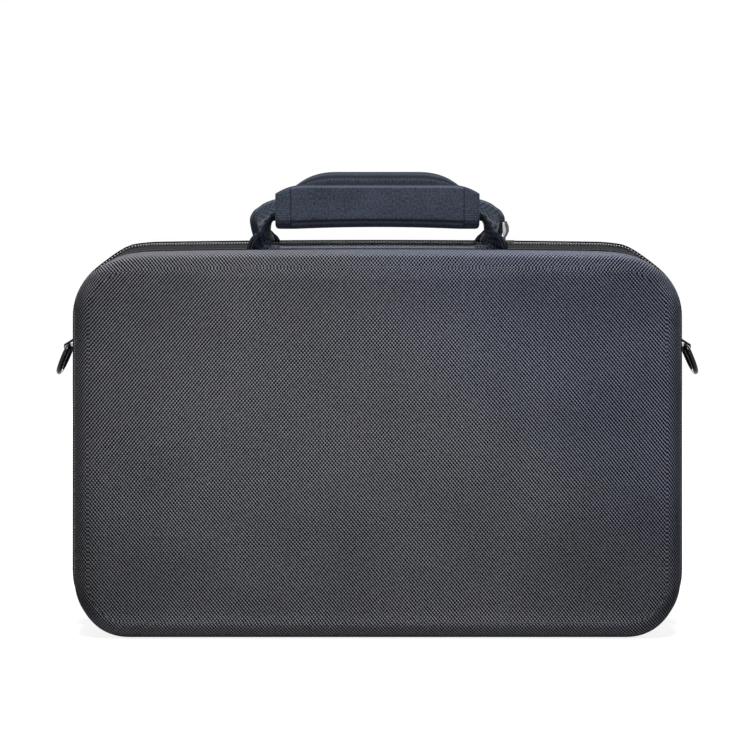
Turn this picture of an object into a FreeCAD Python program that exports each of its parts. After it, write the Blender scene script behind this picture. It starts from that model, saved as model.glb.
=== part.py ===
import FreeCAD, Part
import os
import Sketcher

# Zipped hard-shell carrying case. Origin under the middle of the bottom, +Z up, the front looks along -Y.
SIZES = [
    ("case_width", 420.0, "width over the shell flanks"),
    ("case_height", 267.0, "height of the shells"),
    ("case_depth", 140.0, "front panel to back panel"),
    ("corner_radius", 39.0, "outline corners of the shells"),
    ("shoulder_radius", 14.0, "moulded edge round each panel"),
    ("wall_thickness", 4.5, "laminated foam sheet"),
    ("rim_half_gap", 13.0, "middle plane to each rim"),
    ("rim_round", 2.0, "turned edge of the rim"),
    ("tape_thickness", 1.6, "zip tape, measured outward"),
    ("tape_bend", 7.5, "middle plane to the bend of the tape"),
    ("tape_bend_rise", 3.4, "rise of the bend above the flank"),
    ("coil_rise", 6.8, "top of the coil above the flank"),
    ("coil_height", 3.0, "coil, measured outward"),
    ("coil_width", 2.4, "one half of the coil"),
    ("coil_half_gap", 0.7, "middle plane to each coil half"),
    ("zip_end_height", 12.0, "height at which the zip ends"),
    ("gusset_inset", 2.4, "hinge cloth behind the flank"),
    ("gusset_thickness", 1.4, "hinge cloth"),
    ("binding_width", 8.0, "rim binding tape"),
    ("binding_thickness", 1.5, "rim binding tape"),
    ("webbing_width", 24.0, "handle webbing"),
    ("webbing_thickness", 1.6, "handle webbing"),
    ("strap_half_span", 80.5, "middle of the case to each strap foot"),
    ("grip_length", 144.0, "front pad of the grip"),
    ("grip_gap", 16.5, "shell top to the underside of the grip"),
    ("grip_panel_height", 31.0, "front panel of the grip"),
    ("grip_flap_height", 39.5, "underside of the grip to the top of the tapered flap"),
    ("grip_half_depth", 19.5, "middle plane to the pad faces"),
    ("pad_thickness", 4.5, "padded cloth of the grip"),
    ("fastener_thickness", 1.2, "hook strip and loop strip"),
    ("fastener_height", 8.5, "hook strip and loop strip"),
    ("ring_wire", 4.0, "wire of the D-rings"),
    ("ring_height", 199.0, "height of the ring bars"),
    ("ring_standoff", 12.0, "flank to ring bar"),
    ("ring_back", 24.0, "middle plane to the middle of the ring"),
    ("ring_half_width", 13.0, "wire centre line of the ring"),
    ("ring_straight", 7.0, "bar to the centre of the bow"),
    ("ring_corner", 5.0, "corner of the ring's centre line"),
    ("ring_tilt", 23.0, "rings stand out from the flank, degrees"),
    ("tab_half_width", 8.0, "webbing loop of the ring"),
    ("tab_ply", 1.4, "webbing loop of the ring"),
    ("slider_meet", 6.5, "middle of a strap foot to the meeting sliders"),
    ("slider_length", 10.0, "zip slider"),
    ("slider_half_width", 4.5, "zip slider"),
    ("slider_pin", 3.0, "slider nose to the pull's pin"),
    ("plate_thickness", 1.4, "slider plates"),
    ("pull_length", 12.5, "zip pull"),
    ("pull_width", 5.0, "zip pull"),
    ("pull_thickness", 1.5, "zip pull"),
    ("pull_eye", 1.2, "radius of the pull's eye"),
    ("pocket_height", 165.0, "top of the mesh pocket in the lid"),
    ("pocket_inset", 10.0, "rim to the mesh pocket"),
    ("pocket_cloth", 1.0, "mesh of the pocket"),
    ("hem_height", 12.0, "elastic hem of the pocket"),
    ("hem_thickness", 2.6, "elastic hem of the pocket"),
    ("hold_down_width", 38.0, "console straps"),
    ("hold_down_spacing", 140.0, "console straps"),
    ("hold_down_ply", 1.8, "console straps"),
    ("hold_down_low", 38.0, "lower end of the console straps"),
    ("hold_down_tail", 120.0, "tail of the console straps"),
    ("hold_down_lap", 60.0, "doubled part of the console straps"),
    ("hold_down_reach", 190.0, "console straps, end to end"),
]

doc = FreeCAD.newDocument("carrying_case")
sheet = doc.addObject("Spreadsheet::Sheet", "sizes")
for row, (alias, value, note) in enumerate(SIZES, 1):
    sheet.set("A%d" % row, note)
    sheet.set("B%d" % row, str(value))
    sheet.setAlias("B%d" % row, alias)
doc.recompute()


class Size:
    """A number and the sheet expression that gives it, so geometry starts right and stays bound."""

    def __init__(self, value, text):
        self.value = float(value)
        self.text = text

    def combine(self, sign, other, value):
        text = other.text if isinstance(other, Size) else repr(float(other))
        return Size(value, "(%s %s %s)" % (self.text, sign, text))

    def __add__(self, other):
        return self.combine("+", other, self.value + plain(other))

    def __sub__(self, other):
        return self.combine("-", other, self.value - plain(other))

    def __mul__(self, other):
        return self.combine("*", other, self.value * plain(other))

    def __truediv__(self, other):
        return self.combine("/", other, self.value / plain(other))

    def __neg__(self):
        return Size(-self.value, "(0 - %s)" % self.text)


def plain(number):
    """The plain value of a Size or a number."""
    return number.value if isinstance(number, Size) else float(number)


def bind(target, prop, size):
    """Set a property from a Size and bind it to the sheet."""
    if isinstance(size, Size):
        target.setExpression(prop, size.text)
    else:
        setattr(target, prop, size)


names = [alias for alias, value, note in SIZES]
S = {alias: Size(sheet.get(alias), "sizes." + alias) for alias in names}
half_width = S["case_width"] / 2
half_depth = S["case_depth"] / 2
rim = S["rim_half_gap"]
coil_back = S["coil_half_gap"] + S["coil_width"]
parts = {}


def new_body(name):
    return doc.addObject("PartDesign::Body", name)


def new_sketch(body, name, role, lift=None):
    """A sketch on one of the body's origin planes, lifted along the plane's normal."""
    sketch = body.newObject("Sketcher::SketchObject", name)
    plane = [feature for feature in body.Origin.OriginFeatures if feature.Role == role][0]
    sketch.AttachmentSupport = [(plane, "")]
    sketch.MapMode = "FlatFace"
    if lift is not None:
        sketch.setExpression("AttachmentOffset.Base.z", lift.text)
    return sketch


def fix(sketch, item, point, along, size):
    """Hold one coordinate of a sketch point at a Size."""
    index = sketch.addConstraint(Sketcher.Constraint(along, -1, 1, item, point, plain(size)))
    if isinstance(size, Size):
        sketch.setExpression("Constraints[%d]" % index, size.text)


def draw(sketch, start, steps):
    """Draw a closed loop of lines and arcs through points that are all bound to the sheet.

    A step is (end point,) for a line or (end point, centre, turn) for an arc, turn +1 anticlockwise.
    """
    first = sketch.GeometryCount
    here = start
    ends = []
    for step in steps:
        a = FreeCAD.Vector(plain(here[0]), plain(here[1]), 0)
        b = FreeCAD.Vector(plain(step[0][0]), plain(step[0][1]), 0)
        if len(step) == 1:
            sketch.addGeometry(Part.LineSegment(a, b), False)
            ends.append((1, 2))
        else:
            c = FreeCAD.Vector(plain(step[1][0]), plain(step[1][1]), 0)
            low, high = (a, b) if step[2] > 0 else (b, a)
            circle = Part.Circle(c, FreeCAD.Vector(0, 0, 1), (a - c).Length)
            arc = Part.ArcOfCircle(circle, circle.parameter(low), circle.parameter(high))
            sketch.addGeometry(arc, False)
            ends.append((1, 2) if step[2] > 0 else (2, 1))
        here = step[0]
    here = start
    for number, step in enumerate(steps):
        item = first + number
        begin = ends[number][0]
        before = (number - 1) % len(steps)
        sketch.addConstraint(
            Sketcher.Constraint("Coincident", first + before, ends[before][1], item, begin)
        )
        fix(sketch, item, begin, "DistanceX", here[0])
        fix(sketch, item, begin, "DistanceY", here[1])
        if len(step) == 3:
            wide = abs(plain(step[0][0]) - plain(here[0])) > abs(plain(step[0][1]) - plain(here[1]))
            axis = 1 if wide else 0
            fix(sketch, item, 3, ("DistanceX", "DistanceY")[axis], step[1][axis])
        here = step[0]


def polygon(sketch, points):
    draw(sketch, points[0], [(point,) for point in points[1:] + points[:1]])


def outline(sketch, grow):
    """The rounded outline of the case, grown outward by a Size."""
    wide = half_width + grow
    low = -grow
    high = S["case_height"] + grow
    inner = half_width - S["corner_radius"]
    foot = S["corner_radius"]
    head = S["case_height"] - S["corner_radius"]
    draw(sketch, (-inner, low), [
        ((inner, low),),
        ((wide, foot), (inner, foot), 1),
        ((wide, head),),
        ((inner, high), (inner, head), 1),
        ((-inner, high),),
        ((-wide, head), (-inner, head), 1),
        ((-wide, foot),),
        ((-inner, low), (-inner, foot), 1),
    ])


def pad(body, sketch, length, backward=False, both=False):
    feature = body.newObject("PartDesign::Pad", body.Name + "_pad")
    feature.Profile = sketch
    feature.Reversed = backward
    feature.Midplane = both
    bind(feature, "Length", length)
    doc.recompute()
    return feature


def trim(body, role, points):
    """Cut a polygon away through the whole body, on both sides of an origin plane."""
    sketch = new_sketch(body, body.Name + "_trim", role)
    polygon(sketch, points)
    cut = body.newObject("PartDesign::Pocket", body.Name + "_cut")
    cut.Profile = sketch
    cut.Type = "ThroughAll"
    cut.Midplane = True
    doc.recompute()
    return cut


def soften(body, radius, wanted):
    """Round the edges of the tip that answer a test on the edge's bounding box."""
    base = body.Tip
    edges = ["Edge%d" % (i + 1) for i, edge in enumerate(base.Shape.Edges) if wanted(edge.BoundBox)]
    feature = body.newObject("PartDesign::Fillet", body.Name + "_round")
    feature.Base = (base, edges)
    bind(feature, "Radius", radius)
    doc.recompute()
    return feature


def near(a, b):
    return abs(a - plain(b)) < 0.01


def finish(item, label):
    item.Label = label
    parts[label] = item
    return item


def mirror(source, label, normal):
    """The same piece on the other side of the middle plane."""
    other = doc.addObject("Part::Mirroring", label)
    other.Source = source
    other.Normal = normal
    doc.recompute()
    return finish(other, label)


def box(name, corner, size):
    item = doc.addObject("Part::Box", name)
    for prop, value in zip(("Length", "Width", "Height"), size):
        bind(item, prop, value)
    for prop, value in zip(("x", "y", "z"), corner):
        item.setExpression("Placement.Base." + prop, value.text if isinstance(value, Size) else repr(float(value)))
    return item


def pin(name, centre, radius, length):
    """A cylinder along Y, centred on a point."""
    item = doc.addObject("Part::Cylinder", name)
    bind(item, "Radius", radius)
    bind(item, "Height", length)
    item.Placement = FreeCAD.Placement(FreeCAD.Vector(), FreeCAD.Rotation(FreeCAD.Vector(1, 0, 0), -90))
    middle = (centre[0], centre[1] - length / 2, centre[2])
    for prop, value in zip(("x", "y", "z"), middle):
        item.setExpression("Placement.Base." + prop, value.text)
    return item


def fuse(name, items):
    joined = doc.addObject("Part::MultiFuse", name)
    joined.Shapes = items
    joined.Refine = True
    doc.recompute()
    return joined


def cut_from(name, base, tool):
    result = doc.addObject("Part::Cut", name)
    result.Base = base
    result.Tool = tool
    doc.recompute()
    return result


FORWARD = FreeCAD.Vector(0, 1, 0)
SIDEWAYS = FreeCAD.Vector(1, 0, 0)
none = Size(0, "0")
far = half_width * 2


# Moulded shells: a rounded block, hollowed from the rim, with a turned rim edge.
body = new_body("front_shell_body")
sketch = new_sketch(body, "front_shell_outline", "XZ_Plane", rim)
outline(sketch, none)
pad(body, sketch, half_depth - rim)
front_y = -half_depth.value
soften(body, S["shoulder_radius"], lambda b: near(b.YMin, front_y) and near(b.YMax, front_y))
block = body.Tip
open_face = ["Face%d" % (i + 1) for i, f in enumerate(block.Shape.Faces) if near(f.BoundBox.YMin, -rim.value)]
hollow = body.newObject("PartDesign::Thickness", "front_shell_hollow")
hollow.Base = (block, open_face)
hollow.Reversed = True
bind(hollow, "Value", S["wall_thickness"])
doc.recompute()
inner_wall = half_width.value - S["wall_thickness"].value / 2


def on_outer_rim(b):
    """An edge in the rim plane that lies on the outer outline."""
    if not (near(b.YMin, -rim.value) and near(b.YMax, -rim.value)):
        return False
    reach = max(abs(b.XMin), abs(b.XMax))
    skin = S["wall_thickness"].value / 2
    return reach > inner_wall or b.ZMin < skin or b.ZMax > S["case_height"].value - skin


soften(body, S["rim_round"], on_outer_rim)
front_shell = finish(body, "front_shell")
mirror(front_shell, "rear_shell", FORWARD)

# Zip tapes: a bent band that climbs from the rim to the coil, over the top and down both sides.
tape_sections = [
    (rim, -S["rim_round"] - 0.2),
    (S["tape_bend"], S["tape_bend_rise"]),
    (coil_back, S["coil_rise"] - 1.2),
]
below_zip = [
    (-far, -far),
    (far, -far),
    (far, S["zip_end_height"]),
    (-far, S["zip_end_height"]),
]
body = new_body("front_zip_tape_body")
for kind, inset in (("PartDesign::AdditiveLoft", none), ("PartDesign::SubtractiveLoft", S["tape_thickness"])):
    sketches = []
    for number, (lift, rise) in enumerate(tape_sections):
        sketch = new_sketch(body, "tape_outline", "XZ_Plane", lift)
        outline(sketch, rise - inset)
        sketches.append(sketch)
    loft = body.newObject(kind, "tape_loft")
    loft.Profile = sketches[0]
    loft.Sections = sketches[1:]
    loft.Ruled = True
    doc.recompute()
trim(body, "XZ_Plane", below_zip)
front_tape = finish(body, "front_zip_tape")
mirror(front_tape, "rear_zip_tape", FORWARD)


def ring_body(name, lift, outer, inner, length, both=False):
    """A band of even section that follows the outline of the case."""
    band = new_body(name)
    profile = new_sketch(band, name + "_outline", "XZ_Plane", lift)
    outline(profile, outer)
    outline(profile, inner)
    pad(band, profile, length, both=both)
    return band


# Zip coils, one half each side of the middle plane.
body = ring_body(
    "front_zip_coil_body", S["coil_half_gap"], S["coil_rise"], S["coil_rise"] - S["coil_height"], S["coil_width"]
)
trim(body, "XZ_Plane", below_zip)
front_coil = finish(body, "front_zip_coil")
mirror(front_coil, "rear_zip_coil", FORWARD)

# Binding tapes inside the rims.
body = ring_body(
    "front_rim_binding_body",
    rim,
    -S["wall_thickness"] - 0.1,
    -S["wall_thickness"] - S["binding_thickness"],
    S["binding_width"],
)
front_binding = finish(body, "front_rim_binding")
mirror(front_binding, "rear_rim_binding", FORWARD)

# Hinge cloth under the case, between the two rims.
body = ring_body(
    "hinge_gusset_body", none, -S["gusset_inset"], -S["gusset_inset"] - S["gusset_thickness"], rim * 2, True
)
gusset_top = S["zip_end_height"] - 0.5
trim(body, "XZ_Plane", [(-far, gusset_top), (far, gusset_top), (far, far), (-far, far)])
finish(body, "hinge_gusset")

# Handle straps: each leg leaves its rim facing front, turns on edge and runs into the grip lying flat.
strap_foot = S["case_height"].value - 0.3
grip_low = S["case_height"].value + S["grip_gap"].value
low_run = grip_low + S["pad_thickness"].value + 0.4 + S["webbing_thickness"].value / 2
high_run = low_run + 12.5
grip_rise = low_run - strap_foot
foot_y = rim.value - 0.8
run_end = S["grip_length"].value / 2 - 6.0
lean = S["strap_half_span"].value - S["grip_length"].value / 2
back_run = S["grip_half_depth"].value - S["pad_thickness"].value - 0.2 - S["webbing_width"].value / 2

# Each station: outward lean of the foot line, Y, height as a share of the rise, run (inward, back, up)
# and the way the width points (inward, back, up).
FRONT_LEG = [
    (0.0, -foot_y, 0.0, (0.0, 0.0, 1.0), (1.0, 0.0, 0.0)),
    (-0.3, -foot_y, 0.16, (0.0, 0.0, 1.0), (0.99, 0.14, 0.0)),
    (-1.2, -foot_y + 0.3, 0.32, (0.0, 0.0, 1.0), (0.8, 0.6, 0.0)),
    (-1.2, -10.2, 0.54, (0.0, 0.05, 1.0), (0.42, 0.91, 0.0)),
    (-2.9, -7.2, 0.83, (0.3, 0.05, 1.0), (0.18, 0.98, 0.0)),
    (-lean + 1.6, -2.6, 1.0, (1.0, 0.0, 0.3), (0.0, 1.0, 0.0)),
    (None, -1.0, 1.0, (1.0, 0.0, 0.0), (0.0, 1.0, 0.0)),
]
REAR_LEG = [
    (0.0, foot_y, 0.0, (0.0, 0.0, 1.0), (1.0, 0.0, 0.0)),
    (-0.2, foot_y + 0.2, 0.14, (0.0, 0.0, 1.0), (0.96, -0.28, 0.0)),
    (-0.6, 13.0, 0.26, (0.0, 0.0, 1.0), (0.72, -0.69, 0.0)),
    (1.2, 13.6, 0.36, (-0.1, 0.0, 1.0), (0.56, -0.83, 0.0)),
    (4.4, 12.6, 0.5, (-0.1, 0.0, 1.0), (0.43, -0.9, 0.0)),
    (5.6, 10.2, 0.64, (0.0, 0.0, 1.0), (0.33, -0.94, 0.0)),
    (4.8, 7.6, 0.8, (0.3, 0.0, 1.0), (0.2, -0.97, -0.1)),
    (0.8, 5.2, 0.945, (1.0, 0.0, 0.8), (0.1, -0.98, -0.18)),
    (-lean - 0.5, 3.4, 1.0, (1.0, 0.0, 0.1), (0.0, -0.99, -0.1)),
    (None, back_run, 1.0, (1.0, 0.0, 0.0), (0.0, -1.0, 0.0)),
]


def section(name, place, run, width):
    """A rectangle of webbing, square to the run of the strap."""
    plane = doc.addObject("Part::Plane", name)
    bind(plane, "Length", S["webbing_width"])
    bind(plane, "Width", S["webbing_thickness"])
    along = FreeCAD.Vector(*run).normalize()
    across = FreeCAD.Vector(*width)
    across = (across - along * across.dot(along)).normalize()
    turn = FreeCAD.Rotation(across, along.cross(across), along, "ZXY")
    middle = across * (S["webbing_width"].value / 2) + along.cross(across) * (S["webbing_thickness"].value / 2)
    plane.Placement = FreeCAD.Placement(place - middle, turn)
    return plane


def strap(label, leg, rise, run_y):
    """A handle strap: two twisted legs joined by the flat run inside the grip."""
    sections = []
    for number, (out, y, share, run, width) in enumerate(leg):
        x = run_end if out is None else S["strap_half_span"].value + out
        place = FreeCAD.Vector(-x, y, strap_foot + share * rise)
        sections.append(section("%s_section" % label, place, run, width))
    loft = doc.addObject("Part::Loft", label + "_leg")
    loft.Sections = sections
    loft.Solid = True
    loft.Ruled = False
    doc.recompute()
    other = doc.addObject("Part::Mirroring", label + "_other_leg")
    other.Source = loft
    other.Normal = SIDEWAYS
    middle = doc.addObject("Part::Box", label + "_run")
    middle.Length = 2 * run_end
    bind(middle, "Width", S["webbing_width"])
    bind(middle, "Height", S["webbing_thickness"])
    middle.Placement.Base = FreeCAD.Vector(
        -run_end,
        run_y - S["webbing_width"].value / 2,
        strap_foot + rise - S["webbing_thickness"].value / 2,
    )
    return finish(fuse(label, [loft, middle, other]), label)


strap("front_handle_strap", FRONT_LEG, grip_rise, -1.0)
strap("rear_handle_strap", REAR_LEG, high_run - strap_foot, back_run)

# Grip pads, one on each strap, closed over each other with hook and loop.
face = S["grip_half_depth"]
skin = face - S["pad_thickness"]
low = S["case_height"] + S["grip_gap"]
panel_top = low + S["grip_panel_height"]
top = low + S["grip_flap_height"]
tongue_front = -skin + S["fastener_thickness"] * 2 + 0.2
tongue_end = panel_top - 10.0

body = new_body("front_grip_pad_body")
sketch = new_sketch(body, "front_grip_profile", "YZ_Plane")
polygon(sketch, [
    (-face, low),
    (skin - 3.0, low),
    (skin - 3.0, low + S["pad_thickness"]),
    (-skin, low + S["pad_thickness"]),
    (-skin, panel_top),
    (-face, panel_top),
])
pad(body, sketch, S["grip_length"], both=True)
soften(body, 6.0, lambda b: near(b.YMax, -face.value) and near(b.ZMax, low) and near(b.ZMin, low))
soften(body, 6.0, lambda b: b.YLength > 3 and near(b.ZMin, panel_top) and near(b.XMin, b.XMax))
soften(body, 1.5, lambda b: near(b.YMin, -face.value) and b.ZMin > low.value + 8)
finish(body, "front_grip_pad")

body = new_body("rear_grip_pad_body")
sketch = new_sketch(body, "rear_grip_profile", "YZ_Plane")
polygon(sketch, [
    (face, low + 2.0),
    (face, top),
    (tongue_front, top),
    (tongue_front, tongue_end),
    (tongue_front + S["pad_thickness"], tongue_end),
    (tongue_front + S["pad_thickness"], top - S["pad_thickness"]),
    (skin, top - S["pad_thickness"]),
    (skin, low + 2.0),
])
pad(body, sketch, S["grip_length"] - 12.0, both=True)
soften(body, 9.0, lambda b: near(b.YMin, face) and near(b.ZMin, top))
soften(body, 6.0, lambda b: near(b.YMin, tongue_front) and near(b.YMax, tongue_front) and near(b.ZMin, top))
slope_end = S["grip_length"] / 2 - 8.0
flat_end = S["grip_length"] / 2 - 31.0
for side in (1.0, -1.0):
    trim(body, "XZ_Plane", [
        (slope_end * side, panel_top - 1.5),
        (far * side, panel_top - 1.5),
        (far * side, top + 20.0),
        (flat_end * side, top + 20.0),
        (flat_end * side, top),
    ])
finish(body, "rear_grip_pad")

strip_length = S["grip_length"] * 0.7
loop_strip = box(
    "grip_loop_strip",
    (-strip_length / 2, -skin, tongue_end + 0.5),
    (strip_length, S["fastener_thickness"], S["fastener_height"]),
)
finish(loop_strip, "grip_loop_strip")
hook_strip = box(
    "grip_hook_strip",
    (-strip_length / 2, tongue_front - S["fastener_thickness"], tongue_end + 0.5),
    (strip_length, S["fastener_thickness"], S["fastener_height"]),
)
finish(hook_strip, "grip_hook_strip")

# D-rings: a wire bow on a straight bar, tilted outward from the flank.
body = new_body("d_ring_right_body")
spine = new_sketch(body, "ring_spine", "YZ_Plane")
wide = S["ring_half_width"]
corner = S["ring_corner"]
drop = S["ring_straight"]
draw(spine, (none, none), [
    ((wide - corner, none),),
    ((wide, -corner), (wide - corner, -corner), -1),
    ((wide, -drop),),
    ((-wide, -drop), (none, -drop), -1),
    ((-wide, -corner),),
    ((-wide + corner, none), (-wide + corner, -corner), -1),
    ((none, none),),
])
wire = new_sketch(body, "ring_wire_section", "XZ_Plane")
wire.addGeometry(Part.Circle(FreeCAD.Vector(), FreeCAD.Vector(0, 0, 1), S["ring_wire"].value / 2), False)
wire.addConstraint(Sketcher.Constraint("Coincident", 0, 3, -1, 1))
radius_at = wire.addConstraint(Sketcher.Constraint("Radius", 0, S["ring_wire"].value / 2))
wire.setExpression("Constraints[%d]" % radius_at, (S["ring_wire"] / 2).text)
doc.recompute()
pipe = body.newObject("PartDesign::AdditivePipe", "ring_pipe")
pipe.Profile = wire
pipe.Spine = spine
doc.recompute()
ring_x = half_width + S["ring_standoff"]
body.Placement.Rotation = FreeCAD.Rotation(FreeCAD.Vector(0, 1, 0), -S["ring_tilt"].value)
for prop, value in (("x", ring_x), ("y", S["ring_back"]), ("z", S["ring_height"])):
    body.setExpression("Placement.Base." + prop, value.text)
doc.recompute()
ring = finish(body, "d_ring_right")
mirror(ring, "d_ring_left", SIDEWAYS)

# Ring tabs: doubled webbing sewn to the rear flank and folded round the bar.
ply = S["tab_ply"]
tab_hole = S["ring_wire"] / 2 + 0.3
tab_curl = tab_hole + ply
seam = S["ring_height"] + 9.0
tab_width = S["tab_half_width"] * 2
body = new_body("tab_blade_body")
sketch = new_sketch(body, "tab_blade_profile", "XZ_Plane", -S["ring_back"])
polygon(sketch, [
    (half_width, S["ring_height"] + 30.0),
    (half_width, seam - 3.0),
    (ring_x - tab_curl * 0.65, S["ring_height"] - tab_curl * 0.76),
    (ring_x + tab_curl * 0.65, S["ring_height"] + tab_curl * 0.76),
    (half_width + ply * 2, seam + 4.0),
    (half_width + ply * 2, S["ring_height"] + 30.0),
])
pad(body, sketch, tab_width, both=True)
middle = (ring_x, S["ring_back"], S["ring_height"])
curl = pin("tab_curl", middle, tab_curl, tab_width)
bore = pin("tab_bore", middle, tab_hole, tab_width + 4.0)
tab = finish(cut_from("ring_tab_right", fuse("tab_solid", [body, curl]), bore), "ring_tab_right")
mirror(tab, "ring_tab_left", SIDEWAYS)

# Zip sliders, nose to nose under the right strap: two plates joined by the wedge between the coil halves,
# with lugs for the pull.
plate = S["plate_thickness"]
half_slide = S["slider_half_width"]
outer_face = S["case_height"] + S["coil_rise"] + 0.3
inner_face = S["case_height"] + S["tape_bend_rise"] - S["tape_thickness"] - 0.3
lug_foot = outer_face + plate
pin_z = lug_foot + 1.4
eye = S["pull_eye"]
wedge = 4.0

# Middle line of each pull from its pin, as shares of its length.
OUTER_PULL = [(0.0, 0.0), (0.12, 0.18), (0.22, 0.4), (0.21, 0.66), (0.08, 0.96)]
INNER_PULL = [(0.0, 0.0), (0.02, 0.2), (0.09, 0.5), (0.18, 0.93)]


def blade(line, at_x, length, thick):
    """A strip of even thickness along a middle line, as a closed polygon."""
    over, under = [], []
    for number, (dx, dz) in enumerate(line):
        before, after = line[max(number - 1, 0)], line[min(number + 1, len(line) - 1)]
        run = FreeCAD.Vector(after[0] - before[0], after[1] - before[1], 0).normalize()
        x, z = at_x + length * dx, pin_z + length * dz
        over.append((x - thick * (run.y / 2), z + thick * (run.x / 2)))
        under.append((x + thick * (run.y / 2), z - thick * (run.x / 2)))
    return over + under[::-1]


meet = S["strap_half_span"] + S["slider_meet"]
for word, way, line in (("right", 1.0, OUTER_PULL), ("left", -1.0, INNER_PULL)):
    nose = meet + 0.2 * way
    heel = nose if way > 0 else nose - S["slider_length"]
    pin_x = meet + S["slider_pin"] * way
    wedge_low = nose if way > 0 else nose - wedge
    lug_size = (eye * 2, 0.8, eye + 1.2)
    pieces = [
        box("slider_outer", (heel, -half_slide, outer_face), (S["slider_length"], half_slide * 2, plate)),
        box("slider_inner", (heel, -half_slide, inner_face - plate), (S["slider_length"], half_slide * 2, plate)),
        box("slider_wedge", (wedge_low, Size(-0.45, "-0.45"), inner_face), (wedge, 0.9, outer_face - inner_face)),
        box("slider_lug", (pin_x - eye, eye + 0.15, lug_foot), lug_size),
        box("slider_lug", (pin_x - eye, -eye - 0.95, lug_foot), lug_size),
        pin("slider_pin", (pin_x, none, pin_z), 0.5, eye * 2 + 1.9),
    ]
    finish(fuse("zip_slider_" + word, pieces), "zip_slider_" + word)
    body = new_body("pull_%s_body" % word)
    sketch = new_sketch(body, "pull_%s_profile" % word, "XZ_Plane")
    polygon(sketch, blade(line, pin_x, S["pull_length"], S["pull_thickness"]))
    pad(body, sketch, eye * 2, both=True)
    tip = new_body("pull_%s_tip_body" % word)
    sketch = new_sketch(tip, "pull_%s_tip_profile" % word, "XZ_Plane")
    polygon(sketch, blade(line[1:], pin_x, S["pull_length"], S["pull_thickness"]))
    pad(tip, sketch, S["pull_width"], both=True)
    solid = fuse("pull_%s_solid" % word, [body, tip, pin("pull_eye", (pin_x, none, pin_z), eye, eye * 2)])
    pull = cut_from("zip_pull_" + word, solid, pin("pull_bore", (pin_x, none, pin_z), 0.65, Size(12, "12")))
    finish(pull, "zip_pull_" + word)

# Mesh pocket inside the lid, with an elastic hem.
pocket_y = rim + S["pocket_inset"]
body = new_body("lid_pocket_mesh_body")
sketch = new_sketch(body, "pocket_outline", "XZ_Plane", pocket_y)
outline(sketch, -S["wall_thickness"] - 0.1)
pad(body, sketch, S["pocket_cloth"])
trim(body, "XZ_Plane", [
    (-far, S["pocket_height"]),
    (far, S["pocket_height"]),
    (far, S["pocket_height"] + far),
    (-far, S["pocket_height"] + far),
])
finish(body, "lid_pocket_mesh")
hem_half = half_width - S["wall_thickness"] - 0.1
finish(
    box(
        "lid_pocket_hem",
        (-hem_half, -pocket_y - (S["pocket_cloth"] + S["hem_thickness"]) / 2, S["pocket_height"]),
        (hem_half * 2, S["hem_thickness"], S["hem_height"]),
    ),
    "lid_pocket_hem",
)

# Hold-down straps lying on the inner back panel.
back_wall = half_depth - S["wall_thickness"]
tie = S["hold_down_ply"]
tie_low = S["hold_down_low"]
for label, side in (("hold_down_left", -1.0), ("hold_down_right", 1.0)):
    start = S["hold_down_spacing"] * (side / 2) - S["hold_down_width"] / 2
    blade = box("%s_blade" % label, (start, back_wall - tie, tie_low), (S["hold_down_width"], tie, S["hold_down_reach"]))
    lap_low = tie_low + S["hold_down_tail"] - S["hold_down_lap"] * 0.6
    lap = box("%s_lap" % label, (start, back_wall - tie * 2, lap_low), (S["hold_down_width"], tie, S["hold_down_lap"]))
    finish(fuse(label, [blade, lap]), label)

doc.recompute()
for item in doc.Objects:
    if "Invalid" in item.State or "Error" in item.State:
        raise RuntimeError("%s: %s" % (item.Label, item.State))
os.makedirs("parts", exist_ok=True)
for label, item in parts.items():
    shape = item.Shape
    if shape.isNull() or not shape.isValid() or not shape.Solids:
        raise RuntimeError("bad shape: " + label)
    shape.exportStep("parts/%s.step" % label)
    print(label, len(shape.Solids), round(shape.Volume))
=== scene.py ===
"""Visual model of a zipped hard-shell carrying case with a wrapped webbing handle."""
import logging
import math
from dataclasses import dataclass
from enum import Enum
from typing import Iterable, Sequence, Union

import bmesh
import bpy
import numpy as np
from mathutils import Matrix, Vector


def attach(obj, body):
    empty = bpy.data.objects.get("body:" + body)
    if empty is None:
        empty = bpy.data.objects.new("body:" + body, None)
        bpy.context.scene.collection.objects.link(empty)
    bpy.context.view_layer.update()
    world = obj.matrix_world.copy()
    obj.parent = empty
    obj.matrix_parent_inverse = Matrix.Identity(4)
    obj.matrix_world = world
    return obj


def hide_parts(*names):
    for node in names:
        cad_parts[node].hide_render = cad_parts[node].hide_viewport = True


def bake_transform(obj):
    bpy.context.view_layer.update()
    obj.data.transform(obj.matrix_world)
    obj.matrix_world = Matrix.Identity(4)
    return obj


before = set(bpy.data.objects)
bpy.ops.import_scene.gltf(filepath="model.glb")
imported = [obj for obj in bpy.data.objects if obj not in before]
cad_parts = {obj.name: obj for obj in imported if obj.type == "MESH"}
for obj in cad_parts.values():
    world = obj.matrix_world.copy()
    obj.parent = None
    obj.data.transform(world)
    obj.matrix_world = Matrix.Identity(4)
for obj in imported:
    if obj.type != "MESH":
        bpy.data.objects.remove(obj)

log = logging.getLogger("carrying_case")

Colour = tuple[float, float, float]
Spot = tuple[float, float, float]
Pair = tuple[float, float]
Triple = tuple[float, float, float]
Material = bpy.types.Material
Object = bpy.types.Object
Socket = bpy.types.NodeSocket
Number = Union[float, Socket]

# Shapes are worked out in millimetres and scaled once, when a mesh is made.
MM = 0.001

# Directions of an eight-sided round section, and the raised ribs of the handle webbing.
EIGHTHS = np.radians(np.arange(0.0, 360.0, 45.0) + 22.5)
WEBBING_RIDGES = (11.0, 8.9)


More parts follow.
